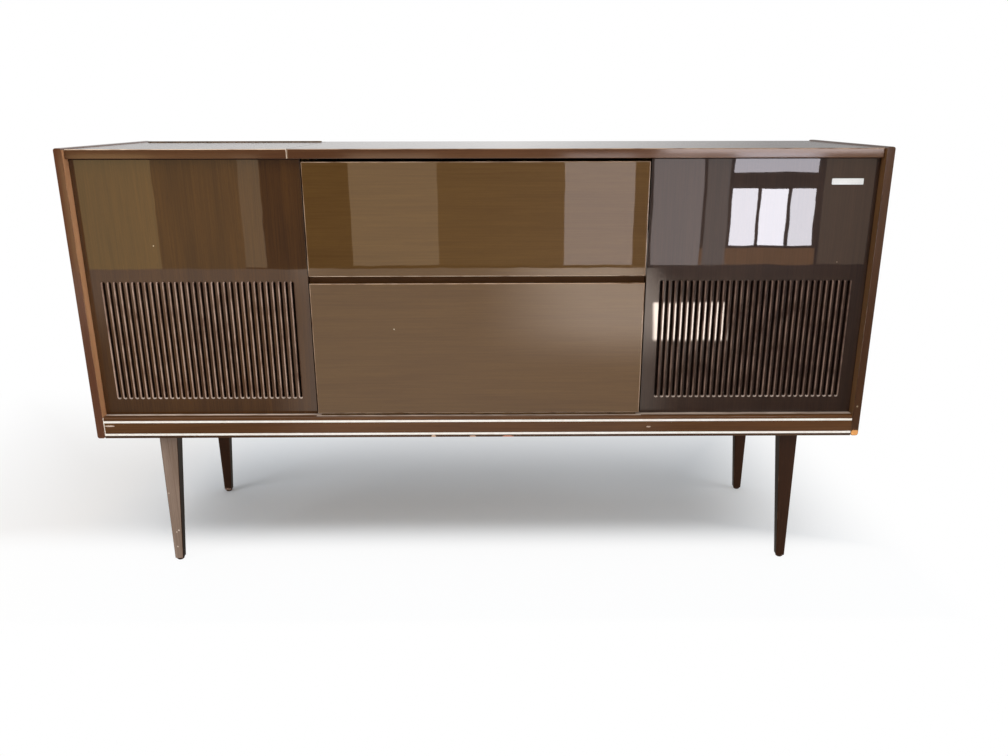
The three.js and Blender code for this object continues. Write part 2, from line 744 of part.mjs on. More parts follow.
function addRadioFlap() {
  add('radio_flap', roundedBoard(
    [-flapHalfWidth, flapHalfWidth], [flapSetback, flapBackY], [radioFlapBottom, radioFlapTop],
    flapEdgeRadius, 'y'), 'veneer');

  const plateX = [flapHalfWidth + fit, flapHalfWidth + fit + pivotPlateThickness];
  const plateY = [flapSetback + flapEdgeRadius + 1, flapBackY];
  const plateBottom = radioPivotZ - pivotPinRadius - 1.5;
  const pin = bar('x', [plateX[0], bayPanelInnerX + pivotPinReach], pivotPinRadius,
    [radioPivotY, radioPivotZ], 12);
  const shortPlate = block(plateX, plateY, [plateBottom, plateBottom + pivotPlateHeight]);
  add('radio_flap_pivot_left', mirrored(joined(shortPlate, pin)), 'steel');

  const plan = stayPlan({
    hingeY: radioPivotY, hingeZ: radioPivotZ, pivotY: radioStayReach, pivotZ: radioStayRise,
    turn: 1, openAngle: flapOpenAngle,
  });
  const [lugY, lugZ] = plan.pivot;
  const half = stayHalfWidth;
  const longPlate = extruded(outline([
    [plateY[0], plateBottom], [plateY[1], plateBottom], [plateY[1], lugZ - 2 * half],
    [lugY + half, lugZ - half], [lugY + half, lugZ + half], [plateY[0], lugZ + half],
  ]), 'x', ...plateX);
  const armX = plateX[0] - runningGap - stayThickness / 2;
  const stayPin = bar('x', [armX - stayThickness, plateX[0] + 1], stayPinRadius, plan.pivot, 12);
  add('radio_flap_pivot_right', joined(longPlate, pin, stayPin), 'steel');
  add('radio_flap_stay', stayArm(plan), 'steel', [armX, ...plan.pivot], plan.angle);

  const wallX = dividerInnerX - fit;
  const flange = wallX - (armX + stayThickness / 2) - runningGap;
  add('radio_stay_peg', mirrored(stayPeg(flange)), 'steel', [wallX, ...plan.peg]);
}

// ---------------------------------------------------------------- record player

const deckPlateRear = boardRearY - deckPlateRearMargin;
const deckPlateX = [deckPlateSideGap - innerX, -dividerOuterX - deckPlateSideGap];
const platterRadius = (deckPlateX[1] - deckPlateX[0] - platterSideInset - platterArmMargin) / 2;
const platterX = deckPlateX[0] + platterSideInset + platterRadius;
const platterCentreY = (deckPlateFront + deckPlateRear) / 2 - platterForwardShift;
const armX = deckPlateX[1] - armPivotSideInset;
const armY = deckPlateRear - armPivotRearInset;
const armZ = motorBoardTop + armPivotHeight;
const armLength = armY - deckPlateFront - armTipFrontInset;
const speedKnob = {
  x: deckPlateX[0] + speedKnobSideInset,
  y: deckPlateRear - speedKnobRearInset,
};
const startLever = { x: armX + startLeverSideShift, y: deckPlateFront + startLeverFrontInset };

function addDeck() {
  const wellX = [-innerX + fit, -dividerOuterX - fit];
  const motorX = platterX - platterRadius / 2;
  const motorY = platterCentreY - platterRadius / 2;
  const board = outline(rectangle(wellX, [bayPanelBackY + fit, boardRearY]), [
    roundHole(platterX, platterCentreY, platterHubRadius + motorBoardHoleSpare),
    roundHole(motorX, motorY, motorRadius + motorBoardHoleSpare),
  ]);
  add('motor_board', extruded(board, 'z', motorBoardTop - boardThickness, motorBoardTop, 8), 'rawBoard');

  const plate = roundedRectangle(deckPlateX, [deckPlateFront, deckPlateRear], deckCornerRadius);
  plate.holes.push(
    roundHole(platterX, platterCentreY, platterHubRadius + fit),
    roundHole(armX, armY, yokeRadius / 2 + fit),
    roundHole(speedKnob.x, speedKnob.y, knobShaftRadius + fit),
    roundHole(startLever.x, startLever.y, knobShaftRadius + fit));
  const deckBottom = motorBoardTop + fit;
  const armRest = bar('z', [deckBottom + 1, armZ - armTubeRadius - fit], armTubeRadius,
    [armX, armY - armRestShare * armLength], 12);
  add('deck_plate', joined(extruded(plate, 'z', deckBottom, deckTop, 6), armRest), 'enamel');

  const motor = turned([
    [0, -motorLength], [motorRadius - motorEdge, -motorLength], [motorRadius, motorEdge - motorLength],
    [motorRadius, 0], [0, 0],
  ], 24);
  add('drive_motor', motor, 'steel', [motorX, motorY, motorBoardTop]);
}

function addPlatter() {
  const rimBottom = deckTop + platterClearance;
  const rimTop = rimBottom + platterRimHeight;
  const matTop = rimTop + matThickness;
  const underWeb = rimTop - platterWeb;
  const hubBottom = motorBoardTop - platterWeb;
  const platter = turned([
    [0, hubBottom], [platterHubRadius, hubBottom], [platterHubRadius, underWeb],
    [platterRadius - platterRimWidth, underWeb], [platterRadius - platterRimWidth, rimBottom],
    [platterRadius, rimBottom], [platterRadius, rimTop], [platterRadius - matInset, rimTop],
    [platterRadius - matInset, matTop], [spindleRadius, matTop],
    [spindleRadius, matTop + spindleRise - spindleRadius], [0, matTop + spindleRise],
  ], 40);
  add('platter', platter, 'rubber', [platterX, platterCentreY, 0]);
}

function addTonearm() {
  const cheekOuter = yokeCheekInner + yokeCheekThickness;
  const stemRadius = yokeRadius / 2;
  const baseTop = deckTop + fit + yokeBaseHeight;
  const cheek = block([yokeCheekInner, cheekOuter], [-yokeCheekHalf, yokeCheekHalf],
    [baseTop - 1, armZ + yokeCheekHalf]);
  const pivotBore = bar('x', [-yokeRadius, yokeRadius], stayPinRadius + runningGap, [0, armZ], 12);
  const yoke = cut(joined(
    bar('z', [deckTop + fit, baseTop], yokeRadius, [0, 0], 24),
    bar('z', [motorBoardTop + 1, deckTop + 1], stemRadius, [0, 0], 16),
    cheek, mirrored(cheek)), pivotBore);
  add('tonearm_yoke', yoke, 'chrome', [armX, armY, 0]);

  const headFrom = -armLength - headWidth / 2;
  const headTo = headFrom + headLength;
  const weightFrom = yokeRadius - 2;
  const weightTo = weightFrom + counterweightLength;
  const cartridgeFrom = headFrom + cartridgeInset;
  const centred = (size) => [-size / 2, size / 2];
  const arm = joined(
    block(centred(armHubWidth), centred(armHubLength), centred(armHubHeight)),
    bar('x', centred(2 * (cheekOuter - 1)), stayPinRadius, [0, 0], 12),
    bar('y', [headTo - 1, weightFrom + 1], armTubeRadius, [0, 0], 12),
    bar('y', [weightFrom, weightTo], counterweightRadius, [0, 0], 24),
    roundedBoard(centred(headWidth), [headFrom, headTo], [-headFall, headRise], topEdgeRadius, 'z'),
    block(centred(cartridgeWidth), [cartridgeFrom, cartridgeFrom + cartridgeLength],
      [-cartridgeFall, 1 - headFall]));
  add('tonearm', arm, 'enamel', [armX, armY, armZ]);
}

function addDeckControls() {
  const stemBottom = -deckPlateThickness;
  const knob = turned([
    [0, stemBottom], [knobShaftRadius, stemBottom], [knobShaftRadius, fit], [speedKnobRadius, fit],
    [speedKnobRadius - 1, speedKnobHeight - 2], [speedKnobRadius - 3, speedKnobHeight],
    [0, speedKnobHeight],
  ], 24);
  const pointerRib = block([-speedKnobPointerHalf, speedKnobPointerHalf],
    [-speedKnobRadius - speedKnobPointerReach, 0], [2, speedKnobHeight - 2]);
  add('speed_knob', joined(knob, pointerRib), 'ivory', [speedKnob.x, speedKnob.y, deckTop]);

  const hub = turned([
    [0, stemBottom], [knobShaftRadius, stemBottom], [knobShaftRadius, fit], [startLeverHubRadius, fit],
    [startLeverHubRadius, startLeverTop + 1], [0, startLeverTop + 2],
  ], 20);
  const lever = roundedBoard([-startLeverLength, 0], [-startLeverHalfWidth, startLeverHalfWidth],
    [startLeverBottom, startLeverTop], topEdgeRadius, 'z');
  add('start_lever', joined(hub, lever), 'ivory', [startLever.x, startLever.y, deckTop]);
}

// ---------------------------------------------------------------- radio

const fasciaHalf = bayPanelInnerX - fasciaSideGap;
const fasciaBack = fasciaSetback + fasciaThickness;
const fasciaBottom = shelfTop + fit;
const fasciaTop = fasciaBottom + controlPanelHeight;
const controlZ = fasciaBottom + knobRise;
const dialBottom = fasciaTop + fit;
const dialTop = topUnderZ - dialTopGap;
const volumeKnobX = volumeKnobInset - fasciaHalf;
const toneKnobX = toneKnobInset - fasciaHalf;
const tuningKnobX = fasciaHalf - tuningKnobInset;
const chassisFront = fasciaBack + keyTravel + chassisGap;
const keyX = (i) => (i - (keyCount - 1) / 2) * keyPitch;

function addRadio() {
  const past = [fasciaSetback - 1, fasciaBack + 1];
  const openings = [volumeKnobX, toneKnobX, tuningKnobX].map(
    (x) => bar('y', past, knobShaftRadius + runningGap, [x, controlZ], 12));
  for (let i = 0; i < keyCount; i++) {
    const halfWide = keyWidth / 2 + runningGap;
    const halfHigh = keyHeight / 2 + runningGap;
    openings.push(block(
      [keyX(i) - halfWide, keyX(i) + halfWide], past, [controlZ - halfHigh, controlZ + halfHigh]));
  }
  const acrossX = [-fasciaHalf, fasciaHalf];
  const face = block(acrossX, [fasciaSetback, fasciaBack], [fasciaBottom, fasciaTop]);
  add('radio_fascia', cut(face, ...openings), 'ivory');
  add('dial_glass', block(acrossX, [fasciaSetback, fasciaBack], [dialBottom, dialTop]), 'dialGlass');
}

/** The open steel pan with what stands on it, and the plate that the dial pointer runs along. */
function addChassis() {
  const half = fasciaHalf - chassisSideInset;
  const chassisTop = fasciaBottom + chassisHeight;
  const chassisRear = boardRearY - chassisRearMargin;
  const seat = chassisTop - chassisWall / 2;
  const rowY = (chassisFront + chassisRear) / 2;
  const plateFront = chassisFront - dialPlateStandoff;
  const plateX = [dialPlateSideInset - fasciaHalf, fasciaHalf - dialPlateSideInset];
  const transformerX = half - transformerInset;
  const pan = cut(
    block([-half, half], [chassisFront, chassisRear], [fasciaBottom, chassisTop]),
    block([chassisWall - half, half - chassisWall],
      [chassisFront + chassisWall, chassisRear - chassisWall],
      [fasciaBottom - 1, chassisTop - chassisWall]));
  const parts = [
    block(plateX, [plateFront, chassisFront + 1], [chassisTop - 2 * dialPlateThickness, chassisTop]),
    block(plateX, [plateFront, plateFront + dialPlateThickness],
      [chassisTop - dialPlateThickness, dialTop - pointerMargin]),
    block([transformerX - transformerWidth / 2, transformerX + transformerWidth / 2],
      [rowY, rowY + transformerDepth], [seat, chassisTop + transformerHeight]),
  ];
  for (let i = 0; i < coilCanCount; i++) {
    const x = -2 / 3 * half + i * coilCanPitch;
    parts.push(block([x, x + coilCanSize], [rowY - coilCanSize, rowY], [seat, chassisTop + coilCanHeight]));
  }
  for (let i = 0; i < valveCount; i++) {
    const place = [transformerX - transformerWidth - i * valvePitch, rowY];
    parts.push(bar('z', [seat, chassisTop + valveHeight], valveRadius, place, 12));
  }
  add('radio_chassis', joined(pan, ...parts), 'steel');

  add('dial_pointer', block(
    [-pointerWidth / 2, pointerWidth / 2],
    [plateFront - runningGap - pointerWidth, plateFront - runningGap],
    [dialBottom + pointerMargin, dialTop - pointerMargin]), 'pointer');
}

/** A knob on its shaft, pointing to -Y, with its back at the fascia. */
function radioKnob(radius) {
  const shaftEnd = chassisFront - fasciaSetback - fit;
  const knob = turned([
    [0, knobEdge - knobDepth], [radius * 0.6, knobEdge - knobDepth], [radius * 0.62, -knobDepth],
    [radius * 0.88, -knobDepth], [radius * 0.94, knobEdge - knobDepth], [radius, -knobBackGap],
    [knobShaftRadius, -knobBackGap], [knobShaftRadius, shaftEnd], [0, shaftEnd],
  ], 32, 'y');
  const gripRib = block([-knobGripHalf, knobGripHalf], [knobEdge - knobDepth + 1, -knobEdge - 1],
    [radius * 0.7, radius + 1]);
  return joined(knob, gripRib);
}

function addRadioControls() {
  add('volume_knob', radioKnob(knobRadius), 'ivory', [volumeKnobX, fasciaSetback, controlZ]);
  add('tone_knob', radioKnob(knobRadius), 'ivory', [toneKnobX, fasciaSetback, controlZ]);
  add('tuning_knob', radioKnob(tuningKnobRadius), 'ivory', [tuningKnobX, fasciaSetback, controlZ]);
  const keyEnd = chassisFront - keyTravel - 2 * fit;
  for (let i = 0; i < keyCount; i++) {
    const key = roundedBoard(
      [-keyWidth / 2, keyWidth / 2], [fasciaSetback - keyProjection, keyEnd],
      [-keyHeight / 2, keyHeight / 2], topEdgeRadius, 'y');
    add(`push_key_${i + 1}`, key, 'ivory', [keyX(i), 0, controlZ]);
  }
}

// ---------------------------------------------------------------- loudspeakers

function addSpeakers() {
  const coneThroat = speakerDepth * 0.42;
  const basketBack = speakerDepth * 0.7;
  const speaker = turned([
    [0, coneThroat - domeRise], [magnetRadius * 0.5, coneThroat], [speakerRadius * 0.86, coneEdge],
    [speakerRadius * 0.93, 0], [speakerRadius, 0], [speakerRadius, speakerFlange],
    [speakerRadius * 0.92, coneEdge], [magnetRadius + 4, basketBack], [magnetRadius, basketBack],
    [magnetRadius, speakerDepth], [0, speakerDepth],
  ], 28, 'y');
  const y = bayPanelBackY + fit + clothThickness + fit;
  add('loudspeaker_right', speaker, 'darkPlastic', [bayMiddleX, y, grilleMiddleZ]);
  add('loudspeaker_left', speaker, 'darkPlastic', [-bayMiddleX, y, grilleMiddleZ]);
}

addCase();
addFrontPanels();
addPlinth();
addLegs();
addBack();
addLid();
addRecordFlap();
addRadioFlap();
addDeck();
addPlatter();
addTonearm();
addDeckControls();
addRadio();
addChassis();
addRadioControls();
addSpeakers();

export default radiogram;
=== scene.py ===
"""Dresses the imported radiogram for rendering, in detailed pieces and real finishes.

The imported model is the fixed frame: it says where every piece goes and which body carries it.
Sizes in the classes are millimetres. A place is written in the case's own frame, with X from
the middle of the case, Y backwards from its front edges and Z up from its underside, and
``spot`` turns it into the metres of the row frame.
"""

import json
import logging
import math
from collections.abc import Callable, Iterator, Mapping, Sequence
from contextlib import contextmanager
from dataclasses import dataclass
from enum import Enum
from functools import cache
from typing import Any

import bmesh
import bpy
from mathutils import Matrix, Vector

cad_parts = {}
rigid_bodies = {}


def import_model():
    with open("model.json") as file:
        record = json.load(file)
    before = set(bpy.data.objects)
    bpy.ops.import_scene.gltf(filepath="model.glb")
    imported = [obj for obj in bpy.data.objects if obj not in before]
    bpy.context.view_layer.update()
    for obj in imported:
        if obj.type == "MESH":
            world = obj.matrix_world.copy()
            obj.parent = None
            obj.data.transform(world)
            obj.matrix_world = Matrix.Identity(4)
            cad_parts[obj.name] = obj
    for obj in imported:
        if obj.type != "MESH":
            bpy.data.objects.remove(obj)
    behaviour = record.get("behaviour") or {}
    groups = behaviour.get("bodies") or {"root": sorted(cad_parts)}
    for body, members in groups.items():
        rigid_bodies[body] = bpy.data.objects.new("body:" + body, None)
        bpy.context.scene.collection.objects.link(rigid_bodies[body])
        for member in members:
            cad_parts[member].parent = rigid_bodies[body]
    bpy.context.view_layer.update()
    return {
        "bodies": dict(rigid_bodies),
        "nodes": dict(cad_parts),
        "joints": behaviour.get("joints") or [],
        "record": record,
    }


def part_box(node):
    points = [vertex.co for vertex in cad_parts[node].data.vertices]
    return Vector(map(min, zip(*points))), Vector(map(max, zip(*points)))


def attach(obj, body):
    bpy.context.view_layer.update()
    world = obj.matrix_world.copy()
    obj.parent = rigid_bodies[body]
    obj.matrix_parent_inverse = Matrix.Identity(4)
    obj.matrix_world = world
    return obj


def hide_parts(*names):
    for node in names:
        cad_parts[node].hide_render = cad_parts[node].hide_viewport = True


log = logging.getLogger("radiogram")

MM = 0.001
CASE_FRONT = -187.5
CASE_BOTTOM = 265.0
SHARP = math.radians(38)

Test = Callable[[Vector, Vector], bool]


class Part(Enum):
    """What a selection in edit mode is made of."""

    POINT = "VERT"
    EDGE = "EDGE"
    FACE = "FACE"


class Axis(Enum):
    """An axis of the row frame, by its place in a vector."""

    X = 0
    Y = 1
    Z = 2


def spot(x: float, y: float, z: float) -> Vector:
    """A place in the row frame, in metres.

    Args:
        x: Millimetres to the right of the case's middle.
        y: Millimetres behind its front edges.
        z: Millimetres above its underside.

    Returns:
        The place as a vector.
    """
    return Vector((x, y + CASE_FRONT, z + CASE_BOTTOM)) * MM


# ---------------------------------------------------------------- modelling


class Workpiece:
    """A mesh on the bench, made from a primitive and shaped with edit-mode operators."""

    def __init__(self, obj: bpy.types.Object) -> None:
        """Takes an object whose place, turn and scale are already in its mesh."""
        self.obj = obj

    @staticmethod
    def adopt(name: str) -> "Workpiece":
        """Names the primitive that was just added and puts its place into its mesh.

        Args:
            name: The piece's name.

        Returns:
            The piece.
        """
        obj = bpy.context.object
        obj.name = obj.data.name = name
        bpy.ops.object.transform_apply(location=True, rotation=True, scale=True)
        return Workpiece(obj)

    @staticmethod
    def block(name: str, low: Vector, high: Vector) -> "Workpiece":
        """A block between two corners, in metres.

        Args:
            name: The piece's name.
            low: Its lowest corner.
            high: Its highest corner.

        Returns:
            The piece.
        """
        bpy.ops.object.select_all(action="DESELECT")
        bpy.ops.mesh.primitive_cube_add(size=1, location=(low + high) / 2, scale=high - low)
        return Workpiece.adopt(name)

    @staticmethod
    def near(name: str, at: Vector, low: Sequence[float], high: Sequence[float]) -> "Workpiece":
        """A block whose corners are given in millimetres from a place.

        Args:
            name: The piece's name.
            at: The place, in metres.
            low: From the place to the block's lowest corner.
            high: From the place to its highest corner.

        Returns:
            The piece.
        """
        return Workpiece.block(name, at + Vector(low) * MM, at + Vector(high) * MM)

    @staticmethod
    def turned(
        name: str,
        at: Vector,
        profile: Sequence[tuple[float, float]],
        sides: int = 48,
        axis: Axis = Axis.Z,
        reverse: bool = False,
    ) -> "Workpiece":
        """A turned piece: a disc that is extruded and resized along its profile.

        Args:
            name: The piece's name.
            at: Where the profile's zero lies, in metres.
            profile: Radius and height in millimetres, from one end to the other.
            sides: How many sides stand for the circle.
            axis: The axis that the heights run along.
            reverse: Whether the heights run towards the axis's low end.

        Returns:
            The piece.
        """
        bpy.ops.object.select_all(action="DESELECT")
        radius, height = profile[0]
        bpy.ops.mesh.primitive_circle_add(
            vertices=sides, radius=radius * MM, fill_type="NGON", location=(0, 0, height * MM)
        )
        piece = Workpiece.adopt(name)
        with piece.bench():
            bpy.ops.mesh.select_all(action="SELECT")
            for next_radius, next_height in profile[1:]:
                piece.push((0, 0, (next_height - height) * MM))
                grow = next_radius / radius
                bpy.ops.transform.resize(
                    value=(grow, grow, 1), center_override=(0, 0, next_height * MM)
                )
                radius, height = next_radius, next_height
        quarter = math.pi / 2
        turn = {
            Axis.X: Matrix.Rotation(quarter, 4, "Y"),
            Axis.Y: Matrix.Rotation(-quarter, 4, "X"),
            Axis.Z: Matrix.Identity(4),
        }[axis]
        if reverse:
            turn = turn @ Matrix.Rotation(math.pi, 4, "X")
        piece.obj.matrix_world = Matrix.Translation(at) @ turn
        piece.settle()
        return piece

    def alone(self) -> None:
        """Selects this piece and nothing else."""
        bpy.ops.object.select_all(action="DESELECT")
        self.obj.select_set(True)
        bpy.context.view_layer.objects.active = self.obj

    def settle(self) -> None:
        """Puts the piece's place, turn and scale into its mesh."""
        self.alone()
        bpy.ops.object.transform_apply(location=True, rotation=True, scale=True)

    @contextmanager
    def bench(self) -> Iterator[None]:
        """Edit mode on this piece alone."""
        self.alone()
        bpy.ops.object.mode_set(mode="EDIT")
        yield
        bpy.ops.object.mode_set(mode="OBJECT")

    def pick(self, part: Part, test: Test) -> int:
        """Selects the points, edges or faces that pass a test.

        Args:
            part: What to select.
            test: Takes an element's middle and its normal, or an edge's direction.

        Returns:
            How many were selected.
        """
        bpy.ops.mesh.select_mode(type=part.value)
        bpy.ops.mesh.select_all(action="DESELECT")
        mesh = bmesh.from_edit_mesh(self.obj.data)
        mesh.normal_update()
        if part is Part.POINT:
            found = [point for point in mesh.verts if test(point.co, point.normal)]
        elif part is Part.FACE:
            found = [face for face in mesh.faces if test(face.calc_center_median(), face.normal)]
        else:
            found = []
            for edge in mesh.edges:
                start, end = (point.co for point in edge.verts)
                if test((start + end) / 2, (end - start).normalized()):
                    found.append(edge)
        for element in found:
            element.select_set(True)
        mesh.select_flush_mode()
        bmesh.update_edit_mesh(self.obj.data)
        return len(found)

    def push(self, way: Sequence[float]) -> None:
        """Extrudes what is selected by a vector in metres."""
        bpy.ops.mesh.extrude_region_move(TRANSFORM_OT_translate={"value": tuple(way)})

    def slide(self, test: Test, way: Sequence[float]) -> None:
        """Moves the points that pass a test by a vector in metres.

        Args:
            test: Takes a point's place and normal.
            way: The move.
        """
        self.pick(Part.POINT, test)
        bpy.ops.transform.translate(value=tuple(way))

    def sink(self, test: Test, rim: float, depth: float) -> None:
        """Insets the faces that pass a test, each by itself, and sinks them.

        Args:
            test: Takes a face's middle and normal.
            rim: The width left round each face, in metres.
            depth: How far it sinks, in metres; below zero it stands up.
        """
        self.pick(Part.FACE, test)
        bpy.ops.mesh.inset(thickness=rim, depth=-depth, use_individual=True)

    def round_edges(self, test: Test, radius: float, segments: int, slot: int = -1) -> None:
        """Rounds the edges that pass a test.

        Args:
            test: Takes an edge's middle and direction.
            radius: The rounding, in metres.
            segments: How many facets stand for it.
            slot: The material slot of the new faces, or -1 for that of their neighbours.
        """
        if self.pick(Part.EDGE, test):
            bpy.ops.mesh.bevel(offset=radius, segments=segments, affect="EDGES", material=slot)

    def slice(self, at: Sequence[float], normal: Sequence[float]) -> None:
        """Cuts every face along a plane.

        Args:
            at: A place on the plane, in metres.
            normal: The plane's normal.
        """
        bpy.ops.mesh.select_all(action="SELECT")
        bpy.ops.mesh.bisect(plane_co=tuple(at), plane_no=tuple(normal))

    def apply(self, kind: str, **settings: Any) -> None:
        """Adds a modifier with its settings and applies it.

        Args:
            kind: The modifier's type.
            **settings: Its properties.
        """
        self.alone()
        modifier = self.obj.modifiers.new(kind.lower(), kind)
        for name, value in settings.items():
            setattr(modifier, name, value)
        bpy.ops.object.modifier_apply(modifier=modifier.name)

    def soften(self, radius: float, segments: int = 3, slot: int = -1) -> None:
        """Rounds every sharp edge that is left.

        Args:
            radius: The rounding in millimetres.
            segments: How many facets stand for it.
            slot: The material slot of the new faces, or -1 for that of their neighbours.
        """
        self.apply(
            "BEVEL", width=radius * MM, segments=segments, limit_method="ANGLE",
            angle_limit=math.radians(32), material=slot,
        )

    def carve(self, cutter: "Workpiece") -> None:
        """Cuts a closed piece out of this one and throws it away.

        Args:
            cutter: The piece to cut with.
        """
        self.apply("BOOLEAN", operation="DIFFERENCE", solver="EXACT", object=cutter.obj)
        bpy.data.objects.remove(cutter.obj)

    def join(self, *others: "Workpiece") -> "Workpiece":
        """Makes other pieces part of this one.

        Args:
            *others: Pieces in the same material slots.

        Returns:
            This piece.
        """
        self.alone()
        for other in others:
            other.obj.select_set(True)
        bpy.ops.object.join()
        return self

    def copy(self, name: str, way: Sequence[float]) -> "Workpiece":
        """A copy with a mesh of its own.

        Args:
            name: The copy's name.
            way: How far it is moved, in metres.

        Returns:
            The copy.
        """
        obj = self.obj.copy()
        obj.data = self.obj.data.copy()
        obj.name = obj.data.name = name
        bpy.context.collection.objects.link(obj)
        obj.location = way
        twin = Workpiece(obj)
        twin.settle()
        return twin

    def smooth(self) -> "Workpiece":
        """Turns the faces outwards and shades curves smooth and flats flat.

        Returns:
            This piece.
        """
        with self.bench():
            bpy.ops.mesh.select_all(action="SELECT")
            bpy.ops.mesh.normals_make_consistent(inside=False)
        bpy.ops.object.shade_smooth_by_angle(angle=SHARP)
        self.apply("WEIGHTED_NORMAL", keep_sharp=True)
        return self

    def dress(self, *finishes: "Finish") -> "Workpiece":
        """Gives the piece its material slots.

        Args:
            *finishes: One finish for each slot.

        Returns:
            This piece.
        """
        slots = self.obj.data.materials
        indices = [face.material_index for face in self.obj.data.polygons]
        slots.clear()
        for finish in finishes:
            slots.append(mixed(finish))
        for face, index in zip(self.obj.data.polygons, indices):
            face.material_index = min(index, len(finishes) - 1)
        return self

    def repaint(self, test: Test, slot: int) -> "Workpiece":
        """Moves the faces that pass a test to another material slot.

        Args:
            test: Takes a face's middle and normal.
            slot: The slot's number.

        Returns:
            This piece.
        """
        for face in self.obj.data.polygons:
            if test(face.center, face.normal):
                face.material_index = slot
        return self

    def install(self, body: str, slot: str, *nodes: str) -> "Workpiece":
        """Puts the piece on a body of the frame.

        Args:
            body: The body that carries it.
            slot: The record's material slot that its finish belongs to; not used.
            *nodes: The CAD nodes that it stands for.

        Returns:
            This piece.
        """
        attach(self.obj, body)
        if nodes:
            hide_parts(*nodes)
        log.info("%s rides on %s, %d faces", self.obj.name, body, len(self.obj.data.polygons))
        return self

    def finish(self, finish: "Finish", body: str, slot: str, *nodes: str) -> "Workpiece":
        """Dresses a piece that has one finish, smooths it and puts it on its body.

        Args:
            finish: The finish.
            body: The body that carries it.
            slot: The record's material slot that its finish belongs to.
            *nodes: The CAD nodes that it stands for.

        Returns:
            This piece.
        """
        return self.dress(finish).smooth().install(body, slot, *nodes)


def centre(node: str) -> Vector:
    """The middle of a CAD node's box, in metres."""
    low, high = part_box(node)
    return (low + high) / 2


def keep(frame: Mapping[str, Any], finish: "Finish", *nodes: str) -> None:
    """Gives CAD nodes that stay as they are a better material.

    Args:
        frame: The loaded frame.
        finish: The finish.
        *nodes: The nodes' names.
    """
    for name in nodes:
        slots = frame["nodes"][name].data.materials
        slots.clear()
        slots.append(mixed(finish))
        log.info("%s keeps its CAD shape, in %s", name, finish.name)


# ---------------------------------------------------------------- finishes


def linear(colour: str) -> tuple[float, float, float, float]:
    """The linear colour of an sRGB hex value.

    Args:
        colour: A value such as "#5c3f26".

    Returns:
        Red, green, blue and alpha.
    """
    levels = [int(colour[i : i + 2], 16) / 255 for i in (1, 3, 5)]
    return (*(v / 12.92 if v <= 0.04045 else ((v + 0.055) / 1.055) ** 2.4 for v in levels), 1.0)


def add_node(
    tree: bpy.types.NodeTree, kind: str, inputs: Mapping[str | int, Any] | None = None,
    output: str | int = 0, **settings: Any,
) -> bpy.types.NodeSocket | None:
    """Adds a shader node with its settings, and its inputs as values or links.

    A Map Range takes its value at 0, its range at 1 and 2 and the result's range at 3 and 4. A
    Mix takes its share at 0 and its colours at 6 and 7, and gives the colour at output 2.

    Args:
        tree: The material's or world's nodes.
        kind: The node's type, without the words that all types share.
        inputs: A value or another node's output for each named or numbered input.
        output: The output that is wanted.
        **settings: The node's properties.

    Returns:
        That output, or None where the node has none.
    """
    node = tree.nodes.new(f"ShaderNode{kind}")
    for name, value in settings.items():
        setattr(node, name, value)
    for key, value in (inputs or {}).items():
        if isinstance(value, bpy.types.NodeSocket):
            tree.links.new(value, node.inputs[key])
        else:
            node.inputs[key].default_value = value
    return node.outputs[output] if node.outputs else None


def along(axis: Axis, across: float, length: float) -> tuple[float, ...]:
    """A grain's size in millimetres: long on one axis and narrow on the others."""
    return tuple(length if part is axis else across for part in Axis)


def grains(
    tree: bpy.types.NodeTree, size: Sequence[float], detail: float = 2, distortion: float = 0
) -> bpy.types.NodeSocket:
    """Noise whose grains have a real size.

    Args:
        tree: The material's nodes.
        size: A grain's length along X, Y and Z, in millimetres.
        detail: How many finer layers it has.
        distortion: How far it is stirred.

    Returns:
        The noise, from about 0.25 to 0.75.
    """
    place = add_node(tree, "TexCoord", output="Object")
    scale = tuple(1 / (length * MM) for length in size)
    stretched = add_node(tree, "Mapping", {"Vector": place, "Scale": scale})
    inputs = {"Vector": stretched, "Scale": 1.0, "Detail": detail, "Distortion": distortion}
    return add_node(tree, "TexNoise", inputs)


@cache
def mixed(finish: "Finish") -> bpy.types.Material:
    """The material of a finish, made once."""
    return finish.make()


@dataclass(frozen=True)
class Finish:
    """What a surface is made of and how it was finished."""

    name: str

    def make(self) -> bpy.types.Material:
        """Makes the material.

        Returns:
            The material, named for the finish.
        """
        material = bpy.data.materials.new(self.name)
        material.use_nodes = True
        tree = material.node_tree
        tree.nodes.clear()
        shader = add_node(tree, "BsdfPrincipled", self.look(tree))
        add_node(tree, "OutputMaterial", {"Surface": shader})
        return material

    def look(self, tree: bpy.types.NodeTree) -> dict[str, Any]:
        """What the shader's inputs get: even values, and the outputs of patterns."""
        return {}


@dataclass(frozen=True)
class Chip:
    """A place where the lacquer has broken away, and the colour of what shows there."""

    at: tuple[float, float, float]
    size: tuple[float, float, float]
    colour: str = "#e59f5a"


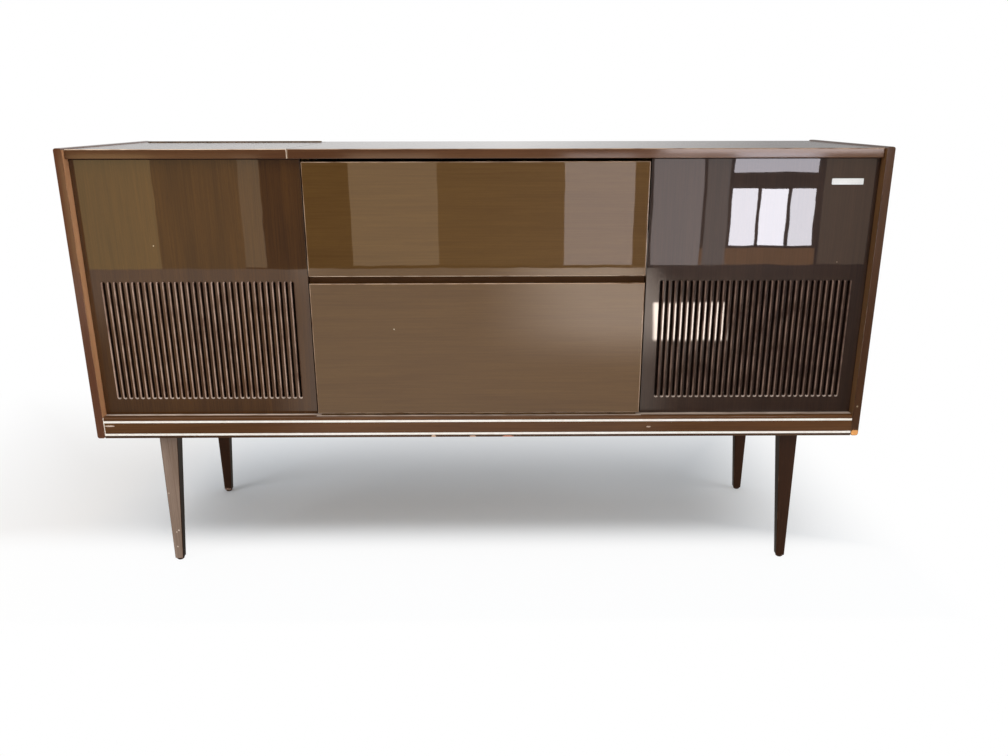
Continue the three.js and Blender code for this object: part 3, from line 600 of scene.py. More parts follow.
@dataclass(frozen=True)
class LacqueredVeneer(Finish):
    """Wood veneer under thick clear polyester, polished like glass.

    The eye sees brown wood with fine straight fibres below a sharp, slightly wavy reflection.
    Real fibres are 0.2 to 0.5 mm wide; they are drawn as coarse as they need to show.
    """

    dark: str = "#3a2210"
    light: str = "#60401f"
    grain: Axis = Axis.Z
    streak: float = 1.8
    figure: float = 38.0
    lacquer: float = 0.04
    coat: float = 1.0
    chips: tuple[Chip, ...] = ()

    def look(self, tree: bpy.types.NodeTree) -> dict[str, Any]:
        """Fibres, broad figure and dark pores under the coat, and a slow ripple on top.

        Args:
            tree: The material's nodes.

        Returns:
            What the shader's inputs get.
        """
        fibres = grains(tree, along(self.grain, self.streak, self.streak * 55), 4)
        figure = grains(tree, along(self.grain, self.figure, self.figure * 8), 2, 0.7)
        pores = grains(tree, along(self.grain, 0.9, 16), 1)
        fine = add_node(tree, "MapRange", {0: fibres, 1: 0.33, 2: 0.67, 4: 0.5})
        broad = add_node(tree, "MapRange", {0: figure, 1: 0.32, 2: 0.68, 4: 0.5})
        tone = add_node(tree, "Math", {0: fine, 1: broad}, operation="ADD")
        specks = add_node(tree, "MapRange", {0: pores, 1: 0.58, 2: 0.70, 4: 0.45})
        dull = add_node(tree, "MapRange", {0: fibres, 1: 0.3, 2: 0.7, 3: 0.32, 4: 0.42})
        layers = [(tone, self.light), (specks, self.dark)]
        for chip in self.chips:
            bare = self.broken(tree, chip)
            layers.append((bare, chip.colour))
            dull = add_node(tree, "MapRange", {0: bare, 3: 0.36, 4: 0.7})
        wood: Any = linear(self.dark)
        for share, colour in layers:
            wood = add_node(tree, "Mix", {0: share, 6: wood, 7: linear(colour)}, 2, data_type="RGBA")
        ripple = add_node(tree, "Bump", {"Height": grains(tree, (70, 70, 70), 1), "Distance": 0.05 * MM})
        skin = grains(tree, (5, 5, 5), 1)
        reliefs = [
            add_node(tree, "Bump", {"Height": height, "Distance": depth * MM, "Normal": ripple})
            for height, depth in ((fibres, 0.012), (skin, 0.0008))
        ]
        return {
            "Base Color": wood, "Roughness": dull, "Normal": reliefs[0], "Coat Normal": reliefs[1],
            "IOR": 1.5, "Specular IOR Level": 0.12,
            "Coat Weight": self.coat, "Coat IOR": 1.5, "Coat Roughness": self.lacquer,
        }

    @staticmethod
    def broken(tree: bpy.types.NodeTree, chip: Chip) -> bpy.types.NodeSocket:
        """Where a chip lies.

        Args:
            tree: The material's nodes.
            chip: The chip.

        Returns:
            1 inside its ragged outline and 0 outside.
        """
        away = add_node(tree, "TexCoord", output="Object")
        away = add_node(tree, "VectorMath", {0: away, 1: tuple(spot(*chip.at))}, operation="SUBTRACT")
        reach = tuple(1 / (length * MM) for length in chip.size)
        share = add_node(tree, "VectorMath", {0: away, 1: reach}, operation="MULTIPLY")
        distance = add_node(tree, "VectorMath", {0: share}, "Value", operation="LENGTH")
        rim = {0: grains(tree, (2.5, 2.5, 2.5)), 1: 0.9, 2: distance}
        ragged = add_node(tree, "Math", rim, operation="MULTIPLY_ADD")
        return add_node(tree, "MapRange", {0: ragged, 1: 1.5, 2: 1.4})


@dataclass(frozen=True)
class WornAndLitEdge(LacqueredVeneer):
    """A lacquered edge with a pale line: partly wear from hands and cloths, partly a painted highlight."""

    pale_line: str = "#a5805e"
    share: float = 0.5

    def look(self, tree: bpy.types.NodeTree) -> dict[str, Any]:
        """The veneer, with a pale line of wear and painted highlight that comes and goes along the edge.

        Args:
            tree: The material's nodes.

        Returns:
            What the shader's inputs get.
        """
        look = super().look(tree)
        layers = {0: self.worn_and_lit(tree), 6: look["Base Color"], 7: linear(self.pale_line)}
        look["Base Color"] = add_node(tree, "Mix", layers, 2, data_type="RGBA")
        return look

    def worn_and_lit(self, tree: bpy.types.NodeTree) -> bpy.types.NodeSocket:
        """How pale the edge is, from wear and painted highlight.

        Args:
            tree: The material's nodes.

        Returns:
            The share, from 0 to 1.
        """
        middle = 0.75 - self.share * 0.5
        patches = grains(tree, (34, 34, 34), 4)
        return add_node(tree, "MapRange", {0: patches, 1: middle - 0.14, 2: middle + 0.14})


@dataclass(frozen=True)
class WornAndLitLedge(WornAndLitEdge):
    """The rail's ledge: a pale line along its back, most at the left, of dusting wear and painted
    reflection.
    """

    rear: tuple[float, float] = (10.0, 14.0)
    left: tuple[float, float] = (150.0, -560.0)
    flap_half: float = 297.5
    flap_shift: float = 7.0
    right_shift: float = 3.5

    def worn_and_lit(self, tree: bpy.types.NodeTree) -> bpy.types.NodeSocket:
        """The pale share of wear and painted reflection, strongest at the back and at the left, and further
        forward at the flap.

        Args:
            tree: The material's nodes.

        Returns:
            The share, from 0 to 1.
        """
        place = add_node(tree, "TexCoord", output="Object")
        x, y, _ = add_node(tree, "SeparateXYZ", {0: place}).node.outputs
        front, back = (spot(0, depth, 0).y for depth in self.rear)
        right, left = (spot(across, 0, 0).x for across in self.left)
        half = self.flap_half * MM
        for start, shift in ((-half, self.flap_shift), (half, self.right_shift - self.flap_shift)):
            past = add_node(tree, "MapRange", {0: x, 1: start, 2: start + MM, 4: shift * MM})
            y = add_node(tree, "Math", {0: y, 1: past}, operation="ADD")
        near_back = add_node(tree, "MapRange", {0: y, 1: front, 2: back})
        to_left = add_node(tree, "MapRange", {0: x, 1: right, 2: left, 3: 0.6})
        patches = grains(tree, (46, 12, 12), 4)
        patches = add_node(tree, "MapRange", {0: patches, 1: 0.36, 2: 0.56, 3: 0.5})
        share = add_node(tree, "Math", {0: near_back, 1: to_left}, operation="MULTIPLY")
        return add_node(tree, "Math", {0: share, 1: patches}, operation="MULTIPLY")


@dataclass(frozen=True)
class BareBoard(Finish):
    """Plain unlacquered plywood or blockboard, as inside the case: dull, with open grain."""

    dark: str = "#86643c"
    light: str = "#b08d5c"
    grain: Axis = Axis.X

    def look(self, tree: bpy.types.NodeTree) -> dict[str, Any]:
        """Broad rotary-cut bands and fine open fibres.

        Args:
            tree: The material's nodes.

        Returns:
            What the shader's inputs get.
        """
        fibres = grains(tree, along(self.grain, 1.6, 40), 3)
        bands = grains(tree, along(self.grain, 60, 420), 3, 1.2)
        tone = add_node(tree, "MapRange", {0: bands, 1: 0.3, 2: 0.7})
        pores = add_node(tree, "MapRange", {0: fibres, 1: 0.5, 2: 0.7, 4: 0.5})
        wood: Any = linear(self.dark)
        for share, colour in ((tone, self.light), (pores, self.dark)):
            wood = add_node(tree, "Mix", {0: share, 6: wood, 7: linear(colour)}, 2, data_type="RGBA")
        relief = add_node(tree, "Bump", {"Height": fibres, "Distance": 0.12 * MM})
        return {"Base Color": wood, "Normal": relief, "Roughness": 0.78, "Specular IOR Level": 0.3}


@dataclass(frozen=True)
class Speckled(Finish):
    """A finish whose colour drifts a little and whose skin has a fine texture.

    It stands for pressed hardboard, stoved enamel, moulded plastic, rubber and paper, which
    differ in colour, gloss, the size of their grains and the depth of their skin.
    """

    colour: str
    drift: str
    roughness: float
    grain: float = 1.0
    depth: float = 0.01
    metallic: float = 0.0
    coat: float = 0.0
    specular: float = 0.5

    def look(self, tree: bpy.types.NodeTree) -> dict[str, Any]:
        """Fine grains in the skin, broad drifts in the colour and the gloss.

        Args:
            tree: The material's nodes.

        Returns:
            What the shader's inputs get.
        """
        skin = grains(tree, (self.grain,) * 3, 3)
        drifts = grains(tree, (45, 45, 45))
        share = add_node(tree, "Math", {0: skin, 1: drifts}, operation="ADD")
        share = add_node(tree, "MapRange", {0: share, 1: 0.75, 2: 1.25})
        colours = {0: share, 6: linear(self.colour), 7: linear(self.drift)}
        gloss = {0: drifts, 1: 0.3, 2: 0.7, 3: self.roughness * 0.85, 4: min(1, self.roughness * 1.15)}
        look = {
            "Base Color": add_node(tree, "Mix", colours, 2, data_type="RGBA"),
            "Roughness": add_node(tree, "MapRange", gloss),
            "Normal": add_node(tree, "Bump", {"Height": skin, "Distance": self.depth * MM}),
            "Metallic": self.metallic,
        }
        if not self.metallic:
            look |= {
                "Specular IOR Level": self.specular, "Coat Weight": self.coat, "Coat Roughness": 0.06
            }
        return look


@dataclass(frozen=True)
class Brushed(Finish):
    """Metal with fine lines left by rolling, brushing or turning along one axis."""

    colour: str
    tarnish: str
    roughness: float
    lines: Axis = Axis.X

    def look(self, tree: bpy.types.NodeTree) -> dict[str, Any]:
        """Lines 0.5 mm wide along one axis, and a slow tarnish.

        Args:
            tree: The material's nodes.

        Returns:
            What the shader's inputs get.
        """
        lines = grains(tree, along(self.lines, 0.5, 40))
        tarnish = grains(tree, (18, 18, 18), 4)
        tarnish = add_node(tree, "MapRange", {0: tarnish, 1: 0.45, 2: 0.7, 4: 0.8})
        colours = {0: tarnish, 6: linear(self.colour), 7: linear(self.tarnish)}
        gloss = {0: lines, 1: 0.3, 2: 0.7, 3: self.roughness * 0.7, 4: self.roughness * 1.3}
        return {
            "Base Color": add_node(tree, "Mix", colours, 2, data_type="RGBA"),
            "Roughness": add_node(tree, "MapRange", gloss),
            "Normal": add_node(tree, "Bump", {"Height": lines, "Distance": 0.006 * MM}),
            "Metallic": 1.0,
        }


@dataclass(frozen=True)
class WovenCloth(Finish):
    """Coarse loudspeaker cloth in dark yarn, plain weave, 1.4 mm between threads."""

    colour: str = "#2a1508"
    thread: str = "#4a2e18"
    pitch: float = 1.4

    def look(self, tree: bpy.types.NodeTree) -> dict[str, Any]:
        """Threads over and under each other, from two crossed wave patterns.

        Args:
            tree: The material's nodes.

        Returns:
            What the shader's inputs get.
        """
        place = add_node(tree, "TexCoord", output="Object")
        wave = {
            "Vector": place, "Scale": 0.314 / (self.pitch * MM * 2), "Distortion": 0.4, "Detail": 1.0
        }
        across, down = (add_node(tree, "TexWave", wave, 1, bands_direction=way) for way in ("X", "Z"))
        weave = add_node(tree, "Math", {0: across, 1: down}, operation="MULTIPLY")
        fibres = grains(tree, (0.5, 0.5, 0.5))
        colours = {
            0: add_node(tree, "MapRange", {0: weave, 1: 0.1, 2: 0.8}),
            6: linear(self.colour), 7: linear(self.thread),
        }
        threads = add_node(tree, "Bump", {"Height": weave, "Distance": 0.3 * MM})
        return {
            "Base Color": add_node(tree, "Mix", colours, 2, data_type="RGBA"),
            "Normal": add_node(tree, "Bump", {"Height": fibres, "Distance": 0.05 * MM, "Normal": threads}),
            "Roughness": 0.9, "Sheen Weight": 0.3, "Sheen Roughness": 0.5,
        }


@dataclass(frozen=True)
class ClearGlass(Finish):
    """Thin clear glass with a faint tint and a little dust."""

    tint: str = "#e8efe9"

    def look(self, tree: bpy.types.NodeTree) -> dict[str, Any]:
        """Dust in the gloss over a clear body.

        Args:
            tree: The material's nodes.

        Returns:
            What the shader's inputs get.
        """
        dust = grains(tree, (7, 7, 7), 4)
        return {
            "Roughness": add_node(tree, "MapRange", {0: dust, 1: 0.5, 2: 0.8, 3: 0.02, 4: 0.12}),
            "Base Color": linear(self.tint), "Transmission Weight": 1.0, "IOR": 1.5,
        }


# Polished like a mirror over warm brown, upright veneer; one pin-prick chip.
UPRIGHT_LEFT = LacqueredVeneer(
    "lacquered_veneer_upright_left", dark="#392009", light="#513210", streak=2.0, lacquer=0.015,
    chips=(Chip((-560.7, 18, 350.4), (1, 3, 1), "#c9b69c"),),
)
# The same polish, with the right panel's veneer painted darker as shade, nearly black between its
# reflections.
UPRIGHT_RIGHT_PAINTED_SHADE = LacqueredVeneer(
    "lacquered_veneer_upright_right_painted_shade", dark="#23130a", light="#332014", streak=2.0, lacquer=0.012,
    chips=(Chip((630.8, 18, 319.2), (0.8, 3, 0.8), "#a08a78"),),
)
# Golden brown with the fibres level, as sharp as glass.
LEVEL_FLAP = LacqueredVeneer(
    "lacquered_veneer_level", dark="#4f3209", light="#5d4016", grain=Axis.X, streak=1.8, figure=60,
    lacquer=0.012, chips=(Chip((-148.9, 10, 202.2), (1, 3, 1), "#d8c9b0"),),
)
# Dusted for years, so the top's reflection is softer than the front's.
TOP_VENEER = LacqueredVeneer(
    "lacquered_veneer_top", dark="#4e2d15", light="#5e3a1e", grain=Axis.X, lacquer=0.09
)
# Satin red-brown, with knocks that show pale wood.
RAIL_VENEER = LacqueredVeneer(
    "lacquered_veneer_rail", dark="#4c2d12", light="#623e1e", grain=Axis.X, streak=1.4,
    lacquer=0.08, coat=0.4,
    chips=(
        Chip((-675, 0.5, 24), (9, 3, 1.5), "#cdb5a2"),
        Chip((-685.4, 0.5, 18), (1.5, 4, 24), "#d9c9b9"),
        Chip((312, 0.5, 19), (4, 3, 1.4), "#b09884"),
    ),
)
# Painted shade: the rail darker below the lower inlay, near the floor, with chipped lower corners.
RAIL_SHADE = LacqueredVeneer(
    "lacquered_veneer_rail_foot_painted_shade", dark="#3b2412", light="#4b301b", grain=Axis.X, streak=1.4,
    lacquer=0.12, coat=0.5,
    chips=(
        Chip((54, 0.5, 0.5), (10, 4, 2.6), "#c07a5e"),
        Chip((-11, 0.5, 0.8), (6, 4, 2.4), "#c09a80"),
        Chip((-83, 0.5, 1.5), (4, 4, 3), "#c9a88c"),
    ),
)
# Brown lacquer that turns to a pale line at the back: dusting wear and a painted reflection of the panel
# above.
LEDGE = WornAndLitLedge(
    "ledge_veneer_wear_and_painted_reflection", dark="#4a2c12", light="#5d3b1e", grain=Axis.X, lacquer=0.12, pale_line="#f0dccb"
)
# Reddish upright veneer with a soft shine.
END_VENEER_LEFT = LacqueredVeneer("lacquered_end_veneer_left", dark="#522a13", light="#60371f", lacquer=0.1)
# Pale and nearly matt: the inner face painted light where the light from the right falls in.
END_INNER_LEFT_PAINTED_LIGHT = LacqueredVeneer(
    "end_inner_veneer_left_painted_light", dark="#b17a52", light="#d29a6e", lacquer=0.3, coat=0.3
)
# Dark brown, broken to orange wood at its lower corner.
END_VENEER_RIGHT = LacqueredVeneer(
    "lacquered_end_veneer_right", dark="#3a200c", light="#4a2c14", lacquer=0.14, coat=0.4,
    chips=(Chip((694, 0, 2), (11, 7, 9)), Chip((692, 0, 57), (1.6, 3, 1.6), "#9a8468")),
)
# Mid brown and nearly matt.
END_INNER_RIGHT = LacqueredVeneer(
    "end_inner_veneer_right", dark="#52361c", light="#67472a", lacquer=0.3, coat=0.3
)
# The slots' rounded mouths, softly shiny.
SHOULDER_LEFT = LacqueredVeneer(
    "slot_shoulder_veneer", dark="#3a2414", light="#513622", streak=1.2, lacquer=0.12
)
# The same, painted near black as shade, so each slot on the right panel reads black.
SHOULDER_RIGHT_PAINTED_SHADE = LacqueredVeneer(
    "slot_shoulder_veneer_painted_shade", dark="#130a04", light="#201208", streak=1.2, lacquer=0.2, coat=0.3
)
# Painted highlight: a pale upright line on the side of each mouth that faces the middle, where the light
# from the right shines.
SHOULDER_HIGHLIGHT_LEFT = WornAndLitEdge(
    "slot_shoulder_left_painted_highlight", dark="#765646", light="#8c6a55", streak=1.2, lacquer=0.2, coat=0.6,
    pale_line="#bf9f8b", share=0.6,
)
# A greyer painted highlight on the right panel's shoulders.
SHOULDER_HIGHLIGHT_RIGHT = WornAndLitEdge(
    "slot_shoulder_right_painted_highlight", dark="#422d24", light="#543c31", streak=1.2, lacquer=0.2, coat=0.6,
    pale_line="#83685a", share=0.5,
)
# A pale matt dot in each slot's foot: partly dust, partly a painted highlight on the rounding that turns up
# to the light.
SLOT_FOOT_DUST_AND_HIGHLIGHT = Speckled("slot_foot_dust_and_painted_highlight", "#a08d80", "#b8a698", 0.6, grain=1.2, depth=0.02, specular=0.3)
# Dark, dull board for the walls inside the slots; it also paints the shadow line along each grille panel's
# top edge.
SLOT_WALL_AND_SHADOW_LINE = BareBoard("dark_slot_wall_and_painted_shadow_line", dark="#2a1408", light="#3d2210", grain=Axis.Z)
# Lacquer worn through to cream wood in long runs, with a painted highlight along the rounded edge.
EDGE_CREAM = WornAndLitEdge("top_edge_wear_and_highlight", dark="#6b4628", light="#80583a", pale_line="#d9bfa4", share=0.75)
# Worn to a warm tan in patches, with a painted highlight along the rounding.
EDGE_TAN_WEAR_AND_HIGHLIGHT = WornAndLitEdge("flap_edge_wear_and_highlight", dark="#5c3d22", light="#6d4b2e", pale_line="#a88a70", share=0.6)
# Little worn, red-brown, with a faint painted highlight along the rounding.
EDGE_PLAIN = WornAndLitEdge("end_edge_wear_and_highlight", dark="#5c3519", light="#704528", pale_line="#8e6444", share=0.35)
# Little worn, dark and softly shiny, with a faint painted highlight along the rounding.
EDGE_DARK = WornAndLitEdge(
    "dark_edge_wear_and_highlight", dark="#2d190a", light="#3e2613", pale_line="#60422a", share=0.3, lacquer=0.14, coat=0.4
)
# Stained wood with hardly any shine left.
LEG_STAIN = LacqueredVeneer(
    "stained_beech_leg", dark="#2a1506", light="#3b200d", streak=1.4, lacquer=0.4, coat=0.06
)
# Painted shade: the inner sides nearly black, where little light falls.
LEG_SHADE = LacqueredVeneer(
    "leg_inner_side_painted_shade", dark="#0e0703", light="#1b0f06", streak=1.4, lacquer=0.4, coat=0.02
)
# The same stain with its tip scuffed pale.
LEG_STAIN_TIP = LacqueredVeneer(
    "stained_beech_leg_pale_tip", dark="#2a1506", light="#3b200d", streak=1.4, lacquer=0.3, coat=0.15,
    chips=(Chip((-589, 344, -264), (16, 16, 9), "#94796a"),),
)
# Painted reflection: the front left leg's front face greyish tan from the light it reflects, with small
# scratches.
LEG_FRONT_PAINTED_REFLECTION = LacqueredVeneer(
    "leg_front_painted_reflection", dark="#77604f", light="#9c8676", streak=1.6, lacquer=0.3, coat=0.4,
    chips=(
        Chip((-582.8, 23, -199.8), (1.4, 3, 1.6), "#e0cdbd"),
        Chip((-587.1, 23, -203.6), (1.2, 3, 1.2), "#d6c2b0"),
        Chip((-588.9, 23, -235.2), (1.2, 3, 1.6), "#dcc8b6"),
        Chip((-592.6, 23, -121.3), (1.0, 3, 1.4), "#cfbaa8"),
        Chip((-574.6, 23, -177.1), (1.0, 3, 1.2), "#cfbaa8"),
    ),
)
# A thin paler line along the leg's arris: wear and a painted highlight.
LEG_EDGE = WornAndLitEdge(
    "leg_edge_wear_and_highlight", dark="#331b0a", light="#462913", pale_line="#86664c", share=0.12, lacquer=0.3, coat=0.1
)
# Plain plywood: yellowish, dull, with broad figure.
INNER_BOARD = BareBoard("bare_inner_board")
# The same board in a lighter brown, painted light to make up for the shade in the groove between the flaps.
SHELF_BOARD_PAINTED_LIGHT = BareBoard("shelf_board_painted_light", dark="#6b4526", light="#84562f")
# Brown pressed fibre: matt, with a coarse felted skin.
HARDBOARD = Speckled("pressed_hardboard", "#5f452c", "#7a5b3c", 0.85, grain=1.8, depth=0.08, specular=0.2)
# Cream plastic strip, smooth and a little shiny.
INLAY = Speckled("pale_celluloid_inlay", "#f6eadd", "#fffaf0", 0.22, grain=6, depth=0.002, coat=0.4)
# Dark threads over and under each other.
CLOTH = WovenCloth("woven_grille_cloth")
# Yellow metal with faint rolling lines.
BRASS = Brushed("rolled_brass", "#b8934e", "#7a5a2c", 0.34)
# Brown metal that hardly stands out from the wood.
BRONZE = Brushed("darkened_bronze_hinge", "#5b452e", "#3a2b1c", 0.45)
# Cool grey metal, softly shiny.
ZINC = Brushed("zinc_plated_steel", "#a9adb0", "#85888a", 0.36, lines=Axis.Z)
# Near-black metal with a dull sheen.
BLUED = Brushed("blued_steel_stay", "#4c4a48", "#35322f", 0.4, lines=Axis.Z)
# Brown plastic, half matt.
GLIDE = Speckled("brown_nylon_glide", "#3d291b", "#46301f", 0.5, specular=0.3)
# Yellowish grey plating gone patchy.
CHASSIS_STEEL = Brushed("cadmium_plated_chassis", "#b3ab94", "#8d866f", 0.4)
# Mirror-bright metal.
CHROME = Brushed("bright_chrome", "#dadcdf", "#b9bcc0", 0.12)
# Grey metal with turning lines.
MOTOR_STEEL = Brushed("turned_motor_steel", "#9b9d9e", "#6f7172", 0.42, lines=Axis.Z)
# Black and matt, with a fine skin.
RUBBER = Speckled("black_moulded_rubber", "#1b1a19", "#262423", 0.75, grain=0.9, depth=0.03, specular=0.3)
# Pale grey metal with a fine cast skin.
PLATTER_METAL = Speckled("cast_aluminium", "#a9a8a4", "#8f8e8a", 0.33, grain=1.2, depth=0.02, metallic=1.0)
# Cream paint, baked hard and softly shiny.
DECK_ENAMEL = Speckled("stoved_cream_enamel", "#d8cfb6", "#cfc5aa", 0.34, grain=1.5, depth=0.02, coat=0.3)
# Grey-beige paint, smooth and softly shiny.
ARM_ENAMEL = Speckled("grey_beige_arm_enamel", "#b7ac97", "#aa9f8a", 0.3, grain=1.2, depth=0.008, coat=0.3)
# Warm ivory plastic with a clean shine.
IVORY = Speckled("moulded_ivory_urea", "#e6dbbf", "#dccfae", 0.22, grain=0.8, depth=0.003, coat=0.5)
# Very dark brown plastic with a faint mottle.
BROWN_PLASTIC = Speckled(
    "moulded_brown_phenolic", "#2b211b", "#372a22", 0.28, grain=0.8, depth=0.006, coat=0.3
)
# Black felted paper, quite matt.
CONE_PAPER = Speckled("pressed_cone_paper", "#26221e", "#332d27", 0.9, grain=1.6, depth=0.1, specular=0.2)
# Clear, with a green tinge and a breath of dust.
DIAL_GLASS = ClearGlass("clear_dial_glass")
# Dark brown printed card, half matt.
DIAL_CARD = Speckled("printed_dial_card", "#241c14", "#2c2318", 0.5)
# Pale gold ink.
DIAL_PRINT = Speckled("gilt_dial_print", "#dcc78f", "#e9d8a8", 0.45, depth=0.002)
# Bright red paint.
POINTER_RED = Speckled("red_lacquered_pointer", "#cf3a22", "#b9301b", 0.3, depth=0.004, coat=0.4)
# Plain white enamel, shiny.
BADGE_METAL = Speckled("blank_enamelled_badge", "#e9e9e6", "#dcdcd8", 0.2, depth=0.002, coat=0.6)


# ---------------------------------------------------------------- the cabinet


def front_top(_: Vector, out: Vector) -> bool:
    """Whether a face lies on a front top edge."""
    return out.y < -0.2 and out.z > 0.2


def board(
    name: str, node: str, radius: float, face: Finish, edge: Finish, worn_and_lit: Test = front_top,
    segments: int = 3, body: str = "cabinet", slot: str = "lacquered_veneer",
) -> Workpiece:
    """A board in a node's place, with rounded edges, some of them pale with wear and painted highlight.

    Args:
        name: The piece's name.
        node: The CAD node that it stands for.
        radius: The edges' rounding in millimetres.
        face: The finish of its faces.
        edge: The finish of its pale edges, of wear and painted highlight.
        worn_and_lit: Says which faces of the rounding take the pale edge finish, by their middle and normal.
        segments: How many facets stand for the rounding.
        body: The body that carries it.
        slot: The record's material slot.

    Returns:
        The piece.
    """
    piece = Workpiece.block(name, *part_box(node))
    piece.dress(face, edge)
    piece.soften(radius, segments)
    piece.repaint(lambda at, out: max(abs(part) for part in out) < 0.99 and worn_and_lit(at, out), 1)
    return piece.smooth().install(body, slot, node)


@dataclass
class Case:
    """The end panels, the fixed part of the top, and the boards inside."""

    frame: Mapping[str, Any]
    end_radius: float = 4.0
    end_edge: float = 0.8
    top_edge: float = 1.2

    def build(self) -> None:
        """Makes the case's pieces and dresses its inner boards."""
        self.end_panel("left", 1, (END_VENEER_LEFT, EDGE_PLAIN, END_INNER_LEFT_PAINTED_LIGHT))
        self.end_panel("right", -1, (END_VENEER_RIGHT, EDGE_DARK, END_INNER_RIGHT))
        board(
            "fixed_top", "top_panel", self.top_edge, TOP_VENEER, EDGE_TAN_WEAR_AND_HIGHLIGHT,
            worn_and_lit=lambda at, out: front_top(at, out) or (out.y < -0.2 and out.x < -0.2),
        )
        board("lid_rear_strip", "lid_rear_rail", 1.0, TOP_VENEER, TOP_VENEER)
        board("middle_shelf", "centre_shelf", 0.8, SHELF_BOARD_PAINTED_LIGHT, SHELF_BOARD_PAINTED_LIGHT, segments=2, slot="inner_board")
        keep(self.frame, INNER_BOARD, "bottom_panel", "divider_left", "divider_right")

    def end_panel(self, side: str, inwards: int, finishes: tuple[Finish, Finish, Finish]) -> None:
        """An end panel, with its long edges well rounded and its face edges just broken.

        Args:
            side: Which one.
            inwards: The sign of X towards the case's middle.
            finishes: The finish of its faces, its edges and its inner face.
        """
        node = f"side_panel_{side}"
        piece = Workpiece.block(f"end_panel_{side}", *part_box(node))
        piece.dress(*finishes)
        with piece.bench():
            piece.round_edges(lambda _, way: abs(way.y) > 0.9, self.end_radius * MM, 6)
        piece.soften(self.end_edge, 2, slot=1)
        # The inner face takes the third finish; on the left that is painted light.
        piece.repaint(lambda _, out: out.x * inwards > 0.95, 2)
        piece.smooth().install("cabinet", "end_panel_veneer", node)


